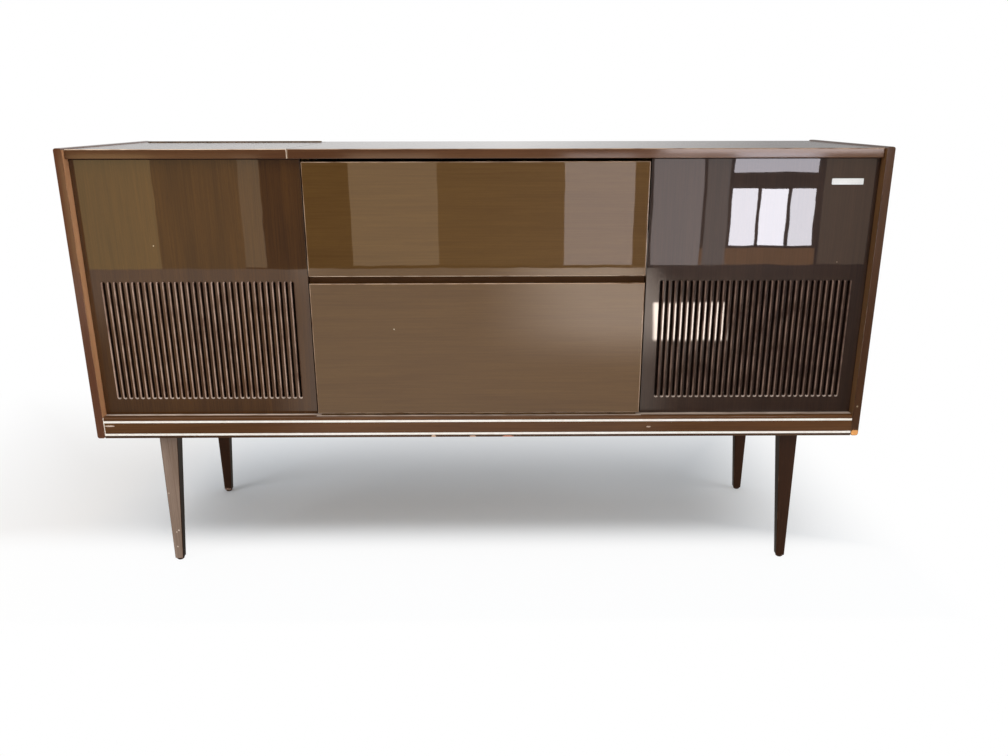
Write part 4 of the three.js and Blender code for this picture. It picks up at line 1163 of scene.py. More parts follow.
@dataclass
class GrilleFront:
    """A front panel with its routed sound slots, and the cloth stretched behind them."""

    side: str
    face: Finish
    shoulder: Finish
    # The pale finish of the shoulders that face the middle: a painted highlight.
    pale_line: Finish
    slot_count: int = 32
    slot_pitch: float = 10.7
    slot_half: float = 2.0
    mouth_half: float = 4.1
    mouth_depth: float = 1.9
    mouth_sides: int = 26
    mouth_steps: tuple[tuple[float, float], ...] = ((0.1, 0.02), (0.8, 0.66), (1.0, 1.0))
    top_shadow_band: float = 1.6
    bottom: float = 72.0
    top: float = 286.0
    thread_sag: float = 0.25

    @property
    def first_slot(self) -> float:
        """Where the leftmost slot's middle lies, in case millimetres."""
        return centre(f"front_panel_{self.side}").x / MM - (self.slot_count - 1) / 2 * self.slot_pitch

    def build(self) -> None:
        """Makes the panel and its cloth."""
        panel = self.panel()
        self.cloth()

    def slot_cutter(self) -> Workpiece:
        """All the slots as one closed cutter, wide and rounded at the front.

        Returns:
            The cutter.
        """
        spread = self.mouth_half - self.slot_half
        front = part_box(f"front_panel_{self.side}")[0].y
        foot = spot(self.first_slot, 0, self.bottom + self.slot_half)
        bpy.ops.object.select_all(action="DESELECT")
        bpy.ops.mesh.primitive_circle_add(
            vertices=self.mouth_sides, radius=self.mouth_half / math.cos(math.pi / self.mouth_sides) * MM,
            fill_type="NGON", location=(foot.x, front - MM, foot.z), rotation=(math.pi / 2, 0, 0),
        )
        cutter = Workpiece.adopt("slot_cutter")
        cutter.dress(self.face, self.shoulder, SLOT_WALL_AND_SHADOW_LINE)
        with cutter.bench():
            length = self.top - self.bottom - 2 * self.slot_half
            cutter.slide(lambda place, _: place.z > foot.z, (0, 0, length * MM))
            bpy.ops.mesh.select_all(action="SELECT")
            cutter.push((0, MM, 0))
            done_in = done_deep = 0.0
            for inwards, deep in self.mouth_steps:
                bpy.ops.mesh.inset(thickness=(inwards - done_in) * spread * MM)
                bpy.ops.transform.translate(value=(0, (deep - done_deep) * self.mouth_depth * MM, 0))
                done_in, done_deep = inwards, deep
            cutter.push((0, 0.02, 0))
            bpy.ops.mesh.select_all(action="SELECT")
            bpy.ops.mesh.normals_make_consistent(inside=False)
        wall_from = front + (self.mouth_depth + 0.01) * MM
        for face in cutter.obj.data.polygons:
            face.material_index = 2 if face.center.y > wall_from else 1
        cutter.apply(
            "ARRAY", count=self.slot_count, use_relative_offset=False, use_constant_offset=True,
            constant_offset_displace=(self.slot_pitch * MM, 0, 0),
        )
        return cutter

    def panel(self) -> Workpiece:
        """The panel with its slots cut, and a painted shadow line along its top edge.

        Returns:
            The piece.
        """
        node = f"front_panel_{self.side}"
        low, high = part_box(node)
        piece = Workpiece.block(f"grille_panel_{self.side}", low, high)
        piece.dress(self.face, self.shoulder, SLOT_WALL_AND_SHADOW_LINE, self.pale_line, SLOT_FOOT_DUST_AND_HIGHLIGHT)
        with piece.bench():
            # Painted shadow: the rounded top front edge takes the slot walls' dark finish, as the shade
            # under the top's overhang.
            piece.round_edges(
                lambda at, way: abs(way.x) > 0.9 and at.z > high.z - MM and at.y < low.y + MM,
                self.top_shadow_band * MM, 3, slot=2,
            )
        piece.soften(0.6, 2)
        piece.carve(self.slot_cutter())
        inwards = 1 if self.side == "left" else -1
        rim = 5 * MM
        foot = spot(0, 0, self.bottom + self.slot_half).z
        # Painted highlight: the shoulders that face the middle take the pale finish.
        piece.repaint(
            lambda at, out: out.x * inwards > 0.3 and out.y < -0.3 and low.x + rim < at.x < high.x - rim, 3
        )
        # The upturned faces at each slot's foot take the pale finish: dust and painted highlight.
        piece.repaint(lambda at, out: out.z > 0.3 and out.y < -0.3 and low.z + rim < at.z < foot, 4)
        return piece.smooth().install("cabinet", "lacquered_veneer", node)

    def cloth(self) -> None:
        """The cloth behind the panel, stretched flat but for a faint sag between its tacks.
        """
        node = f"grille_cloth_{self.side}"
        low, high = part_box(node)
        middle = (low + high) / 2
        bpy.ops.object.select_all(action="DESELECT")
        bpy.ops.mesh.primitive_grid_add(
            x_subdivisions=34, y_subdivisions=22, size=1,
            location=(middle.x, low.y + 0.5 * MM, middle.z), rotation=(math.pi / 2, 0, 0),
        )
        bpy.context.object.scale = (high.x - low.x, high.z - low.z, 1)
        piece = Workpiece.adopt(f"stretched_cloth_{self.side}")
        with piece.bench():
            for row in range(1, 5):
                tall = (high.z - low.z) * (0.5 - row * 0.1)
                wide = tall * 1.5
                piece.slide(
                    lambda at, _: abs(at.z - middle.z) < tall and abs(at.x - middle.x) < wide,
                    (0, self.thread_sag / 4 * MM, 0),
                )
        piece.apply("SOLIDIFY", thickness=0.5 * MM, offset=0)
        piece.finish(CLOTH, "cabinet", "grille_cloth", node)


@dataclass
class Plinth:
    """The rail under the front, with its rounded nose and two inlaid lines."""

    frame: Mapping[str, Any]
    nose_radius: float = 3.0
    groove_depth: float = 2.3
    groove_spare: float = 0.15

    def build(self) -> None:
        """Makes the rail and dresses the inlaid strips."""
        low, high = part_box("base_rail")
        rail = Workpiece.block("plinth_rail", low, high)
        rail.dress(RAIL_VENEER, LEDGE, RAIL_SHADE)
        grooves = []
        for strip in ("inlay_strip_upper", "inlay_strip_lower"):
            bottom, top = (corner.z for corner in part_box(strip))
            grooves.append((bottom - self.groove_spare * MM, top + self.groove_spare * MM))
        with rail.bench():
            rail.round_edges(
                lambda at, way: abs(way.x) > 0.9 and at.z > high.z - MM and at.y < low.y + MM,
                self.nose_radius * MM, 6,
            )
            rail.round_edges(
                lambda at, way: abs(way.x) > 0.9 and at.z < low.z + MM and at.y < low.y + MM,
                0.8 * MM, 2,
            )
            for height in (edge for groove in grooves for edge in groove):
                rail.slice((0, 0, height), (0, 0, 1))
            rail.pick(
                Part.FACE,
                lambda at, out: out.y < -0.9 and any(b < at.z < t for b, t in grooves),
            )
            rail.push((0, self.groove_depth * MM, 0))
        # The ledge's upper faces take the pale ledge finish: wear and a painted reflection.
        rail.repaint(lambda _, out: out.z > 0.95, 1)
        # Below the lower inlay the rail takes the darker finish: painted shade.
        foot = grooves[1][0]
        rail.repaint(lambda at, _: at.z < foot, 2)
        rail.smooth().install("cabinet", "lacquered_veneer", "base_rail")
        keep(self.frame, INLAY, "inlay_strip_upper", "inlay_strip_lower")


@dataclass
class Legs:
    """Four tapered legs, upright outside and drawn in towards their feet."""

    frame: Mapping[str, Any]
    foot: float = 16.0
    edge: float = 2.2

    def build(self) -> None:
        """Makes each leg from its node's box."""
        for end in ("front", "rear"):
            for side in ("left", "right"):
                self.leg(end, side)
                keep(self.frame, GLIDE, f"glide_{end}_{side}")

    def leg(self, end: str, side: str) -> None:
        """One leg: a block whose two inner faces lean to its foot.

        Args:
            end: Whether it is a front or a rear one.
            side: Which side it stands on.
        """
        node = f"leg_{end}_{side}"
        low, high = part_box(node)
        piece = Workpiece.block(f"tapered_{node}", low, high)
        wood = LEG_STAIN_TIP if node == "leg_rear_left" else LEG_STAIN
        # The front left leg's front face takes the painted reflection finish.
        front = LEG_FRONT_PAINTED_REFLECTION if node == "leg_front_left" else wood
        piece.dress(wood, LEG_EDGE, front, LEG_SHADE)
        across = 1 if side == "left" else -1
        back = 1 if end == "front" else -1
        inner_x = high.x if side == "left" else low.x
        inner_y = high.y if end == "front" else low.y
        with piece.bench():
            piece.slide(
                lambda at, _: at.z < low.z + MM and abs(at.x - inner_x) < MM,
                (across * (self.foot * MM - (high.x - low.x)), 0, 0),
            )
            piece.slide(
                lambda at, _: at.z < low.z + MM and abs(at.y - inner_y) < MM,
                (0, back * (self.foot * MM - (high.y - low.y)), 0),
            )
            piece.round_edges(lambda _, way: abs(way.z) > 0.9, self.edge * MM, 3, slot=1)
        piece.soften(1.2, 3)
        piece.repaint(lambda _, out: out.y < -0.8, 2)
        # Painted shade: the inner side faces take the near-black finish.
        piece.repaint(lambda _, out: out.x * across > 0.8, 3)
        piece.smooth().install("cabinet", "leg_wood", node)


@dataclass
class Rear:
    """The perforated back, its screws, and the loudspeakers behind the grilles."""

    frame: Mapping[str, Any]
    screw_inset: float = 9.0
    screw_columns: int = 6

    def build(self) -> None:
        """Dresses the back, drives its screws and makes the loudspeakers."""
        keep(self.frame, HARDBOARD, "back_panel")
        keep(self.frame, BROWN_PLASTIC, "mains_inlet")
        self.screws()
        for side in ("left", "right"):
            self.speaker(side)

    def screws(self) -> None:
        """Round-headed screws along the back panel's edges."""
        low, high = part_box("back_panel")
        inset = self.screw_inset * MM
        first = Workpiece.turned(
            "back_screw_1", Vector((low.x + inset, high.y, low.z + inset)),
            [(1.6, -5), (1.6, 0.1), (3.9, 0.1), (3.9, 0.5), (3.3, 1.4), (2.2, 2.0), (0.8, 2.3)], 16, Axis.Y,
        )
        slot_at = Vector((low.x + inset, high.y + 2.4 * MM, low.z + inset))
        half = Vector((5, 0.9, 0.5)) * MM
        first.carve(Workpiece.block("screw_slot", slot_at - half, slot_at + half))
        first.dress(ZINC).smooth()
        width = high.x - low.x - 2 * inset
        height = high.z - low.z - 2 * inset
        places = [
            (column / (self.screw_columns - 1) * width, row * height)
            for row in (0, 1) for column in range(self.screw_columns)
        ] + [(0, height / 2), (width, height / 2)]
        for number, (x, z) in enumerate(places[1:], 2):
            first.copy(f"back_screw_{number}", (x, 0, z)).install("cabinet", "zinc_steel")
        first.install("cabinet", "zinc_steel")

    def speaker(self, side: str) -> None:
        """A loudspeaker: flange, paper cone with its rolled edge and dome, basket and magnet.

        Args:
            side: Which grille it stands behind.
        """
        node = f"loudspeaker_{side}"
        at = centre(node)
        at.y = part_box(node)[0].y
        profile = [
            (12, 27.5), (16, 27.5), (19, 33.6), (60, 16), (80, 7.5), (86, 5.0), (88, 3.6), (90, 5.2),
            (93, 2.2), (93, 0), (100, 0), (100, 3), (96, 3.2), (92, 6), (60, 40), (44, 56), (40, 56),
            (40, 78.5), (38.5, 80),
        ]
        piece = Workpiece.turned(f"speaker_{side}", at, profile, 64, Axis.Y)
        piece.finish(CONE_PAPER, "cabinet", "dark_plastic", node)


@dataclass
class Badge:
    """The blank plate near the right panel's top corner."""

    left: float = 606.0
    right: float = 660.0
    bottom: float = 452.0
    top: float = 462.5
    thickness: float = 1.2

    def build(self) -> None:
        """Makes the plate, with rounded corners and a sunk face."""
        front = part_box("front_panel_right")[0].y
        low = spot(self.left, 0, self.bottom)
        high = spot(self.right, 0, self.top)
        low.y, high.y = front - self.thickness * MM, front + 0.2 * MM
        piece = Workpiece.block("blank_badge", low, high)
        with piece.bench():
            piece.round_edges(lambda _, way: abs(way.y) > 0.9, 1.6 * MM, 4)
            piece.sink(lambda _, out: out.y < -0.9, 0.9 * MM, 0.25 * MM)
        piece.soften(0.25, 2)
        piece.finish(BADGE_METAL, "cabinet", "ivory_plastic")


# ---------------------------------------------------------------- lid and flaps


@dataclass
class Covers:
    """The lid over the record player and the two flaps in the middle, with their fittings."""

    frame: Mapping[str, Any]
    lid_edge: float = 1.2
    flap_edge: float = 1.6

    def build(self) -> None:
        """Makes the boards and dresses hinges, pivots and stays."""
        board(
            "player_lid", "turntable_lid", self.lid_edge, TOP_VENEER, EDGE_CREAM, body="lid",
            worn_and_lit=lambda at, out: front_top(at, out) or (out.y < -0.2 and out.x > 0.2),
        )
        for node in ("radio_flap", "record_flap"):
            flap = board(
                f"{node}_board", node, self.flap_edge, LEVEL_FLAP, EDGE_TAN_WEAR_AND_HIGHLIGHT, body=node, segments=4,
                worn_and_lit=lambda _, out: out.y < -0.2,
            )
            flap.dress(LEVEL_FLAP, EDGE_TAN_WEAR_AND_HIGHLIGHT, EDGE_CREAM)
            # The lower front edges take the cream edge finish: wear and a painted highlight.
            flap.repaint(lambda _, out: out.z < -0.2 and -0.99 < out.y < -0.2, 2)
        keep(
            self.frame, BRONZE, "lid_hinge_fixed_leaf", "lid_hinge_moving_leaf",
            "record_hinge_fixed_leaf", "record_hinge_moving_leaf",
        )
        keep(
            self.frame, BLUED, "lid_stay", "lid_stay_peg", "lid_stay_bracket", "radio_flap_stay",
            "radio_stay_peg", "radio_flap_pivot_left", "radio_flap_pivot_right",
        )


# ---------------------------------------------------------------- the record player


@dataclass
class RecordPlayer:
    """The deck plate with its platter, arm and controls."""

    frame: Mapping[str, Any]
    sides: int = 96
    mat_ribs: int = 14
    mat_thick: float = 3.0
    rim_height: float = 18.0
    spindle_rise: float = 12.0
    pivot_drop: float = 7.0
    deck_to_knobs: float = 8.0

    def build(self) -> None:
        """Makes the turning and swinging pieces and dresses the rest."""
        keep(self.frame, INNER_BOARD, "motor_board")
        keep(self.frame, DECK_ENAMEL, "deck_plate")
        keep(self.frame, MOTOR_STEEL, "drive_motor")
        self.platter()
        self.yoke()
        self.arm()
        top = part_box("deck_plate")[0].z + self.deck_to_knobs * MM
        self.speed_knob(top)
        self.start_lever(top)

    def platter(self) -> None:
        """The cast platter, its ribbed rubber mat and the spindle."""
        low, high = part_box("platter")
        at = centre("platter")
        at.z = low.z
        rim = (high.x - low.x) / 2 / MM
        top = (high.z - low.z) / MM - self.spindle_rise
        face = top - self.mat_thick
        under = face - 5
        foot = face - self.rim_height
        profile = [
            (7.9, 0), (8.7, 0.8), (8.7, under), (rim - 7, under), (rim - 7, foot + 0.6),
            (rim - 6.4, foot), (rim - 0.8, foot), (rim, foot + 0.8), (rim, foot + 7),
            (rim - 0.8, foot + 7.6), (rim - 0.8, foot + 9.4), (rim, foot + 10),
            (rim, top - 4), (rim - 1, face), (20, face),
        ]
        body = Workpiece.turned("cast_platter", at, profile, self.sides)
        body.finish(PLATTER_METAL, "platter", "platter_metal", "platter")
        mat = [(rim - 2.4, face), (rim - 2, top - 2.6), (rim - 2, top - 0.6), (rim - 2.6, top)]
        radius = rim - 6
        for _ in range(self.mat_ribs):
            mat += [(radius, top), (radius - 0.6, top - 0.8), (radius - 2.4, top - 0.8), (radius - 3, top)]
            radius -= 5.6
        mat += [(48, top), (47, top - 0.6), (9, top - 0.6), (8.4, top - 1.2), (5, top - 1.2)]
        Workpiece.turned("ribbed_mat", at, mat, self.sides).finish(RUBBER, "platter", "glide_rubber")
        spindle = [
            (8, top - 2.9), (8, top - 1.0), (7, top - 0.4), (3.6, top - 0.4), (3.6, top + 8),
            (3.0, top + 10.5), (1.2, top + self.spindle_rise),
        ]
        Workpiece.turned("record_spindle", at, spindle, 32).finish(CHROME, "platter", "bright_chrome")

    def yoke(self) -> None:
        """The arm's turned base with its two cheeks and pivot screws."""
        low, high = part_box("tonearm_yoke")
        at = centre("tonearm_yoke")
        at.z = low.z
        height = (high.z - low.z) / MM
        foot = (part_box("deck_plate")[0].z - low.z) / MM + 8.3
        profile = [
            (7.2, 0), (8, 0.8), (8, foot), (15.4, foot), (16, foot + 0.6), (16, foot + 4),
            (14.6, foot + 6.2), (12, foot + 7), (4, foot + 7),
        ]
        screw_profile = [(3.4, 0), (3.4, 0.5), (2.8, 0.9), (0.9, 0.9), (0.9, 0.4), (0.5, 0.4)]
        base = Workpiece.turned("arm_base", at, profile)
        for sign in (-1, 1):
            inner, outer = sorted((sign * 8, sign * 11))
            cheek = Workpiece.near("cheek", at, (inner, -7, foot + 6), (outer, 7, height))
            with cheek.bench():
                cheek.round_edges(lambda place, way: abs(way.x) > 0.9 and place.z > at.z + 0.04, 6.5 * MM, 8)
            cheek.soften(0.5, 2)
            head = at + Vector((sign * 10.9, 0, height - self.pivot_drop)) * MM
            screw = Workpiece.turned("pivot_screw", head, screw_profile, 20, Axis.X, reverse=sign < 0)
            base.join(cheek, screw)
        base.finish(CHROME, "tonearm_yoke", "bright_chrome", "tonearm_yoke")

    def arm(self) -> None:
        """The arm: tube, pivot block, pickup shell with its finger lift, and counterweight."""
        low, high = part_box("tonearm")
        pivot = centre("tonearm_yoke")
        pivot.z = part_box("tonearm_yoke")[1].z - self.pivot_drop * MM
        tip = (pivot.y - low.y) / MM
        tail = (high.y - pivot.y) / MM
        collar = tip - 30
        tube_profile = [
            (3.2, 24 - tail), (4, 24.5 - tail), (4, collar - 4), (4.6, collar - 3), (4.6, collar),
            (3, collar),
        ]
        tube = Workpiece.turned("arm_tube", pivot, tube_profile, 24, Axis.Y, reverse=True)
        block = Workpiece.near("pivot_block", pivot, (-7, -10, -6), (7, 10, 6))
        block.soften(1.8, 3)
        shell = Workpiece.near("pickup_shell", pivot, (-9, -tip, -6), (9, 42 - tip, 4))
        with shell.bench():
            back = pivot.y + (41 - tip) * MM
            front = pivot.y + (1 - tip) * MM
            shell.slide(lambda place, _: place.y > back and place.x < pivot.x, (3.2 * MM, 0, 0))
            shell.slide(lambda place, _: place.y > back and place.x > pivot.x, (-3.2 * MM, 0, 0))
            shell.slide(lambda place, _: place.y < front and place.z > pivot.z, (0, 0, -2.5 * MM))
            shell.round_edges(lambda place, way: abs(way.z) > 0.7 and place.y < front, 3 * MM, 5)
            shell.pick(Part.FACE, lambda _, out: out.z < -0.9)
            bpy.ops.mesh.inset(thickness=1.4 * MM, depth=0)
            bpy.ops.transform.translate(value=(0, 0, 4.5 * MM))
        shell.soften(0.8, 3)
        shell.join(tube, block).finish(ARM_ENAMEL, "tonearm", "tonearm_enamel", "tonearm")
        rings = [
            (9, 0), (11.2, 0.2), (12, 1), (12, 8), (11.4, 8.6), (11.4, 10.4), (12, 11), (12, 25), (11, 26),
            (4.2, 26),
        ]
        weight_profile = [(radius, height - tail) for radius, height in rings]
        weight = Workpiece.turned("counterweight", pivot, weight_profile, 40, Axis.Y, reverse=True)
        weight.finish(BROWN_PLASTIC, "tonearm", "dark_plastic")
        cartridge = Workpiece.near("cartridge", pivot, (-5, 4 - tip, -8), (5, 22 - tip, -1.4))
        with cartridge.bench():
            nose = pivot.y + (5 - tip) * MM
            foot = pivot.z - 7 * MM
            cartridge.slide(lambda place, _: place.y < nose and place.z < foot, (0, 5 * MM, 0))
        cartridge.soften(0.5, 2)
        point = pivot + Vector((0, 12 - tip, -8)) * MM
        stylus = Workpiece.turned("stylus", point, [(1.1, -0.6), (0.9, 0.4), (0.25, 0.95)], 12, reverse=True)
        cartridge.join(stylus).finish(IVORY, "tonearm", "ivory_plastic")

    @staticmethod
    def speed_knob(top: float) -> None:
        """The speed knob with its pointer and the grip round it.

        Args:
            top: The height that it stands on, in metres.
        """
        at = centre("speed_knob")
        at.y, at.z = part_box("speed_knob")[1].y - 14 * MM, top
        profile = [
            (3, -8), (3, 0.35), (13.4, 0.35), (14, 0.9), (14, 5), (13, 9.8), (11.4, 11.4), (9.6, 12), (2, 12)
        ]
        knob = Workpiece.turned("speed_dial", at, profile)
        pointer = Workpiece.near("speed_pointer", at, (-1.5, -18, 2), (1.5, -10, 9))
        with pointer.bench():
            tip = at.y - 17 * MM
            pointer.slide(lambda place, _: place.y < tip and place.z > top + 5 * MM, (0, 0, -4 * MM))
        pointer.soften(0.6, 3)
        with knob.bench():
            knob.sink(lambda place, out: abs(out.z) < 0.3 and place.z > top + 2 * MM, 0.25 * MM, 0.25 * MM)
        knob.join(pointer).finish(IVORY, "speed_knob", "ivory_plastic", "speed_knob")

    @staticmethod
    def start_lever(top: float) -> None:
        """The start lever: a turned hub with a flat handle.

        Args:
            top: The height that it stands on, in metres.
        """
        at = centre("start_lever")
        at.x, at.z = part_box("start_lever")[1].x - 7 * MM, top
        profile = [(3, -8), (3, 0.35), (6.5, 0.35), (7, 0.9), (7, 8.2), (6, 9.4), (4, 10), (1, 10)]
        hub = Workpiece.turned("lever_hub", at, profile, 32)
        handle = Workpiece.near("lever_handle", at, (-30, -4, 3), (-2, 4, 8))
        root, end = at.x - 5 * MM, at.x - 25 * MM
        with handle.bench():
            handle.slide(lambda place, _: place.x > root and place.y > at.y, (0, -1.4 * MM, 0))
            handle.slide(lambda place, _: place.x > root and place.y < at.y, (0, 1.4 * MM, 0))
            handle.round_edges(lambda place, way: abs(way.z) > 0.7 and place.x < end, 3.6 * MM, 6)
        handle.soften(1.2, 3)
        hub.join(handle).finish(IVORY, "start_lever", "ivory_plastic", "start_lever")


# ---------------------------------------------------------------- the radio


@dataclass
class Radio:
    """The receiver behind the upper flap: fascia, dial, knobs, keys and chassis."""

    frame: Mapping[str, Any]
    flutes: int = 48
    scale_half: float = 205.0
    card_spare: float = 25.0
    card_inset: float = 8.2
    tick_count: int = 50
    scales: tuple[tuple[float, tuple[str, ...]], ...] = (
        (21, ("88", "92", "96", "100", "104", "108")),
        (46, ("530", "600", "700", "850", "1100", "1600")),
        (71, ("150", "180", "210", "250", "300", "340")),
    )

    def build(self) -> None:
        """Makes the controls and the dial, and dresses the rest."""
        keep(self.frame, BROWN_PLASTIC, "radio_fascia")
        keep(self.frame, DIAL_GLASS, "dial_glass")
        keep(self.frame, POINTER_RED, "dial_pointer")
        keep(self.frame, CHASSIS_STEEL, "radio_chassis")
        for name in ("volume_knob", "tone_knob", "tuning_knob"):
            self.knob(name)
        for number in range(1, 5):
            self.key(f"push_key_{number}")
        self.dial()

    def knob(self, node: str) -> None:
        """A fluted ivory knob with a brass cap, on its shaft.

        Args:
            node: The CAD node that it stands for.
        """
        low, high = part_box(node)
        radius = (high.x - low.x) / 2 / MM
        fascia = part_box("radio_fascia")[0].y
        at = centre(node)
        at.y, at.z = fascia, low.z + radius * MM
        depth = (fascia - low.y) / MM
        shaft = (high.y - fascia) / MM
        profile = [
            (2.6, -shaft), (3, -shaft + 0.4), (3, 1.5), (radius - 0.8, 1.5), (radius, 2.3), (radius, 4.5),
            (radius * 0.985, depth - 4), (radius * 0.94, depth - 1.6), (radius * 0.88, depth),
            (radius * 0.66, depth), (radius * 0.62, depth - 1.4), (radius * 0.3, depth - 1.4),
        ]
        body = Workpiece.turned(f"fluted_{node}", at, profile, self.flutes, Axis.Y, reverse=True)
        tip, root = low.y + 2 * MM, fascia - 3 * MM
        with body.bench():
            body.sink(
                lambda here, out: abs(out.y) < 0.3 and tip < here.y < root and self.fluted(here - at),
                0.2 * MM, 0.7 * MM,
            )
        body.finish(IVORY, node, "ivory_plastic", node)
        crown = radius * 0.58
        cap_profile = [
            (crown, depth - 1.5), (crown, depth - 0.9), (radius * 0.54, depth - 0.5), (1, depth - 0.3)
        ]
        cap = Workpiece.turned(f"{node}_cap", at, cap_profile, 48, Axis.Y, reverse=True)
        ends = (-0.8, 0.1 - depth, radius * 0.2), (0.8, 0.7 - depth, radius * 0.52)
        mark = Workpiece.near("mark", at, *ends)
        mark.soften(0.2, 2)
        cap.join(mark).finish(BRASS, node, "hinge_brass")

    def fluted(self, away: Vector) -> bool:
        """Whether a side face, seen from the knob's axis, is one of every two that are sunk."""
        return int((math.atan2(away.z, away.x) / math.tau % 1) * self.flutes) % 2 == 0

    @staticmethod
    def key(node: str) -> None:
        """A push key with a dished face.

        Args:
            node: The CAD node that it stands for.
        """
        piece = Workpiece.block(f"dished_{node}", *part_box(node))
        with piece.bench():
            piece.pick(Part.FACE, lambda _, out: out.y < -0.9)
            for rim, depth in ((2.4, 1.1), (4, 0.5)):
                bpy.ops.mesh.inset(thickness=rim * MM, depth=0)
                bpy.ops.transform.translate(value=(0, depth * MM, 0))
        piece.soften(1.1, 3)
        piece.finish(IVORY, node, "ivory_plastic", node)

    def dial(self) -> None:
        """The printed card behind the glass: three scales with their lines and numbers."""
        bottom, top = (corner.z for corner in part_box("dial_glass"))
        behind_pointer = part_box("dial_pointer")[1].y
        inset = self.card_inset * MM
        reach = (self.scale_half + self.card_spare) * MM
        low = Vector((-reach, behind_pointer + 0.1 * MM, bottom + inset))
        high = Vector((reach, behind_pointer + 0.5 * MM, top - inset))
        card = Workpiece.block("dial_card", low, high)
        with card.bench():
            card.sink(lambda _, out: out.y < -0.9, 2 * MM, 0.06 * MM)
        card.finish(DIAL_CARD, "cabinet", "dark_plastic")
        front = low.y + 0.03 * MM
        left = -self.scale_half * MM
        width = 2 * self.scale_half
        prints: list[Workpiece] = []
        for drop, numbers in self.scales:
            height = high.z - drop * MM
            prints.append(self.stroke(Vector((left, front, height)), width, 0.6))
            for step in range(self.tick_count + 1):
                x = left + step * width / self.tick_count * MM
                prints.append(self.stroke(Vector((x, front, height)), 0.5, 2.6 if step % 10 else 5.0))
            for i, number in enumerate(numbers):
                foot = Vector((left + i * width / 5 * MM, front, height + 7 * MM))
                prints.append(self.number(number, foot))
        prints[0].join(*prints[1:])
        prints[0].obj.name = "dial_print"
        prints[0].dress(DIAL_PRINT).install("cabinet", "ivory_plastic")

    @staticmethod
    def stroke(at: Vector, width: float, height: float) -> Workpiece:
        """A thin printed stroke, as a raised bar 0.05 mm thick."""
        return Workpiece.near("stroke", at, (0, 0, 0), (width, 0.05, height))

    @staticmethod
    def number(text: str, at: Vector) -> Workpiece:
        """A printed number, as flat letters 6 mm high turned into a mesh.

        Args:
            text: The digits.
            at: The middle of their foot, in metres.

        Returns:
            The piece.
        """
        bpy.ops.object.select_all(action="DESELECT")
        bpy.ops.object.text_add(location=at, rotation=(math.pi / 2, 0, 0))
        words = bpy.context.object
        words.data.body = text
        words.data.align_x = "CENTER"
        words.data.size = 8 * MM
        words.data.extrude = 0.03 * MM
        words.data.resolution_u = 2
        bpy.ops.object.convert(target="MESH")
        return Workpiece.adopt("number")


# ---------------------------------------------------------------- the studio


@dataclass(frozen=True)
class Card:
    """A pale part of the room behind the camera, which only shows as a reflection."""

    name: str
    left: float
    right: float
    bottom: float
    top: float
    radiance: float
    colour: str = "#ffffff"


ROOM = (
    Card("wall_far_left", -2.31, -1.88, -0.1, 0.62, 2.0, "#ffdc9c"),
    Card("notice_left", -2.31, -1.93, 0.30, 0.62, 0.6, "#ffd9b4"),
    Card("wall_behind_left", -2.31, -1.40, -0.3, 0.62, 0.75, "#ffd9a0"),
    Card("door_frame_left", -1.40, -1.28, -0.01, 0.60, 1.5, "#ffe2b8"),
    Card("wall_left", -0.79, -0.30, 0.0, 0.62, 1.7, "#ffe3c0"),
    Card("doorway", -0.30, 0.41, 0.0, 0.62, 0.4, "#ffd9a8"),
    Card("wall_right", 0.41, 0.80, 0.0, 0.62, 3.1, "#fff2ee"),
    Card("window_frame", 0.56, 0.60, 0.0, 0.62, 3.5, "#fff4ec"),
    Card("curtain", 0.90, 1.18, 0.0, 0.62, 2.6, "#fff0ee"),
    Card("curtain_edge", 1.20, 1.33, 0.0, 0.62, 1.3, "#fff0ea"),
    Card("pane_1", 1.35, 1.49, 0.11, 0.43, 20, "#f8f6ff"),
    Card("pane_2", 1.51, 1.665, 0.11, 0.43, 22, "#f8f6ff"),
    Card("pane_3", 1.685, 1.82, 0.11, 0.43, 17, "#f8f6ff"),
    Card("fanlight", 1.35, 1.82, 0.52, 0.62, 9, "#f8f4ff"),
    Card("window_sill", 1.18, 1.84, 0.0, 0.095, 1.6, "#ffb878"),
    Card("wall_far_right", 1.86, 2.6, 0.0, 0.62, 0.8, "#ffdcbc"),
    Card("window_top", 0.95, 2.2, 0.63, 0.80, 8.5, "#fff0ee"),
)


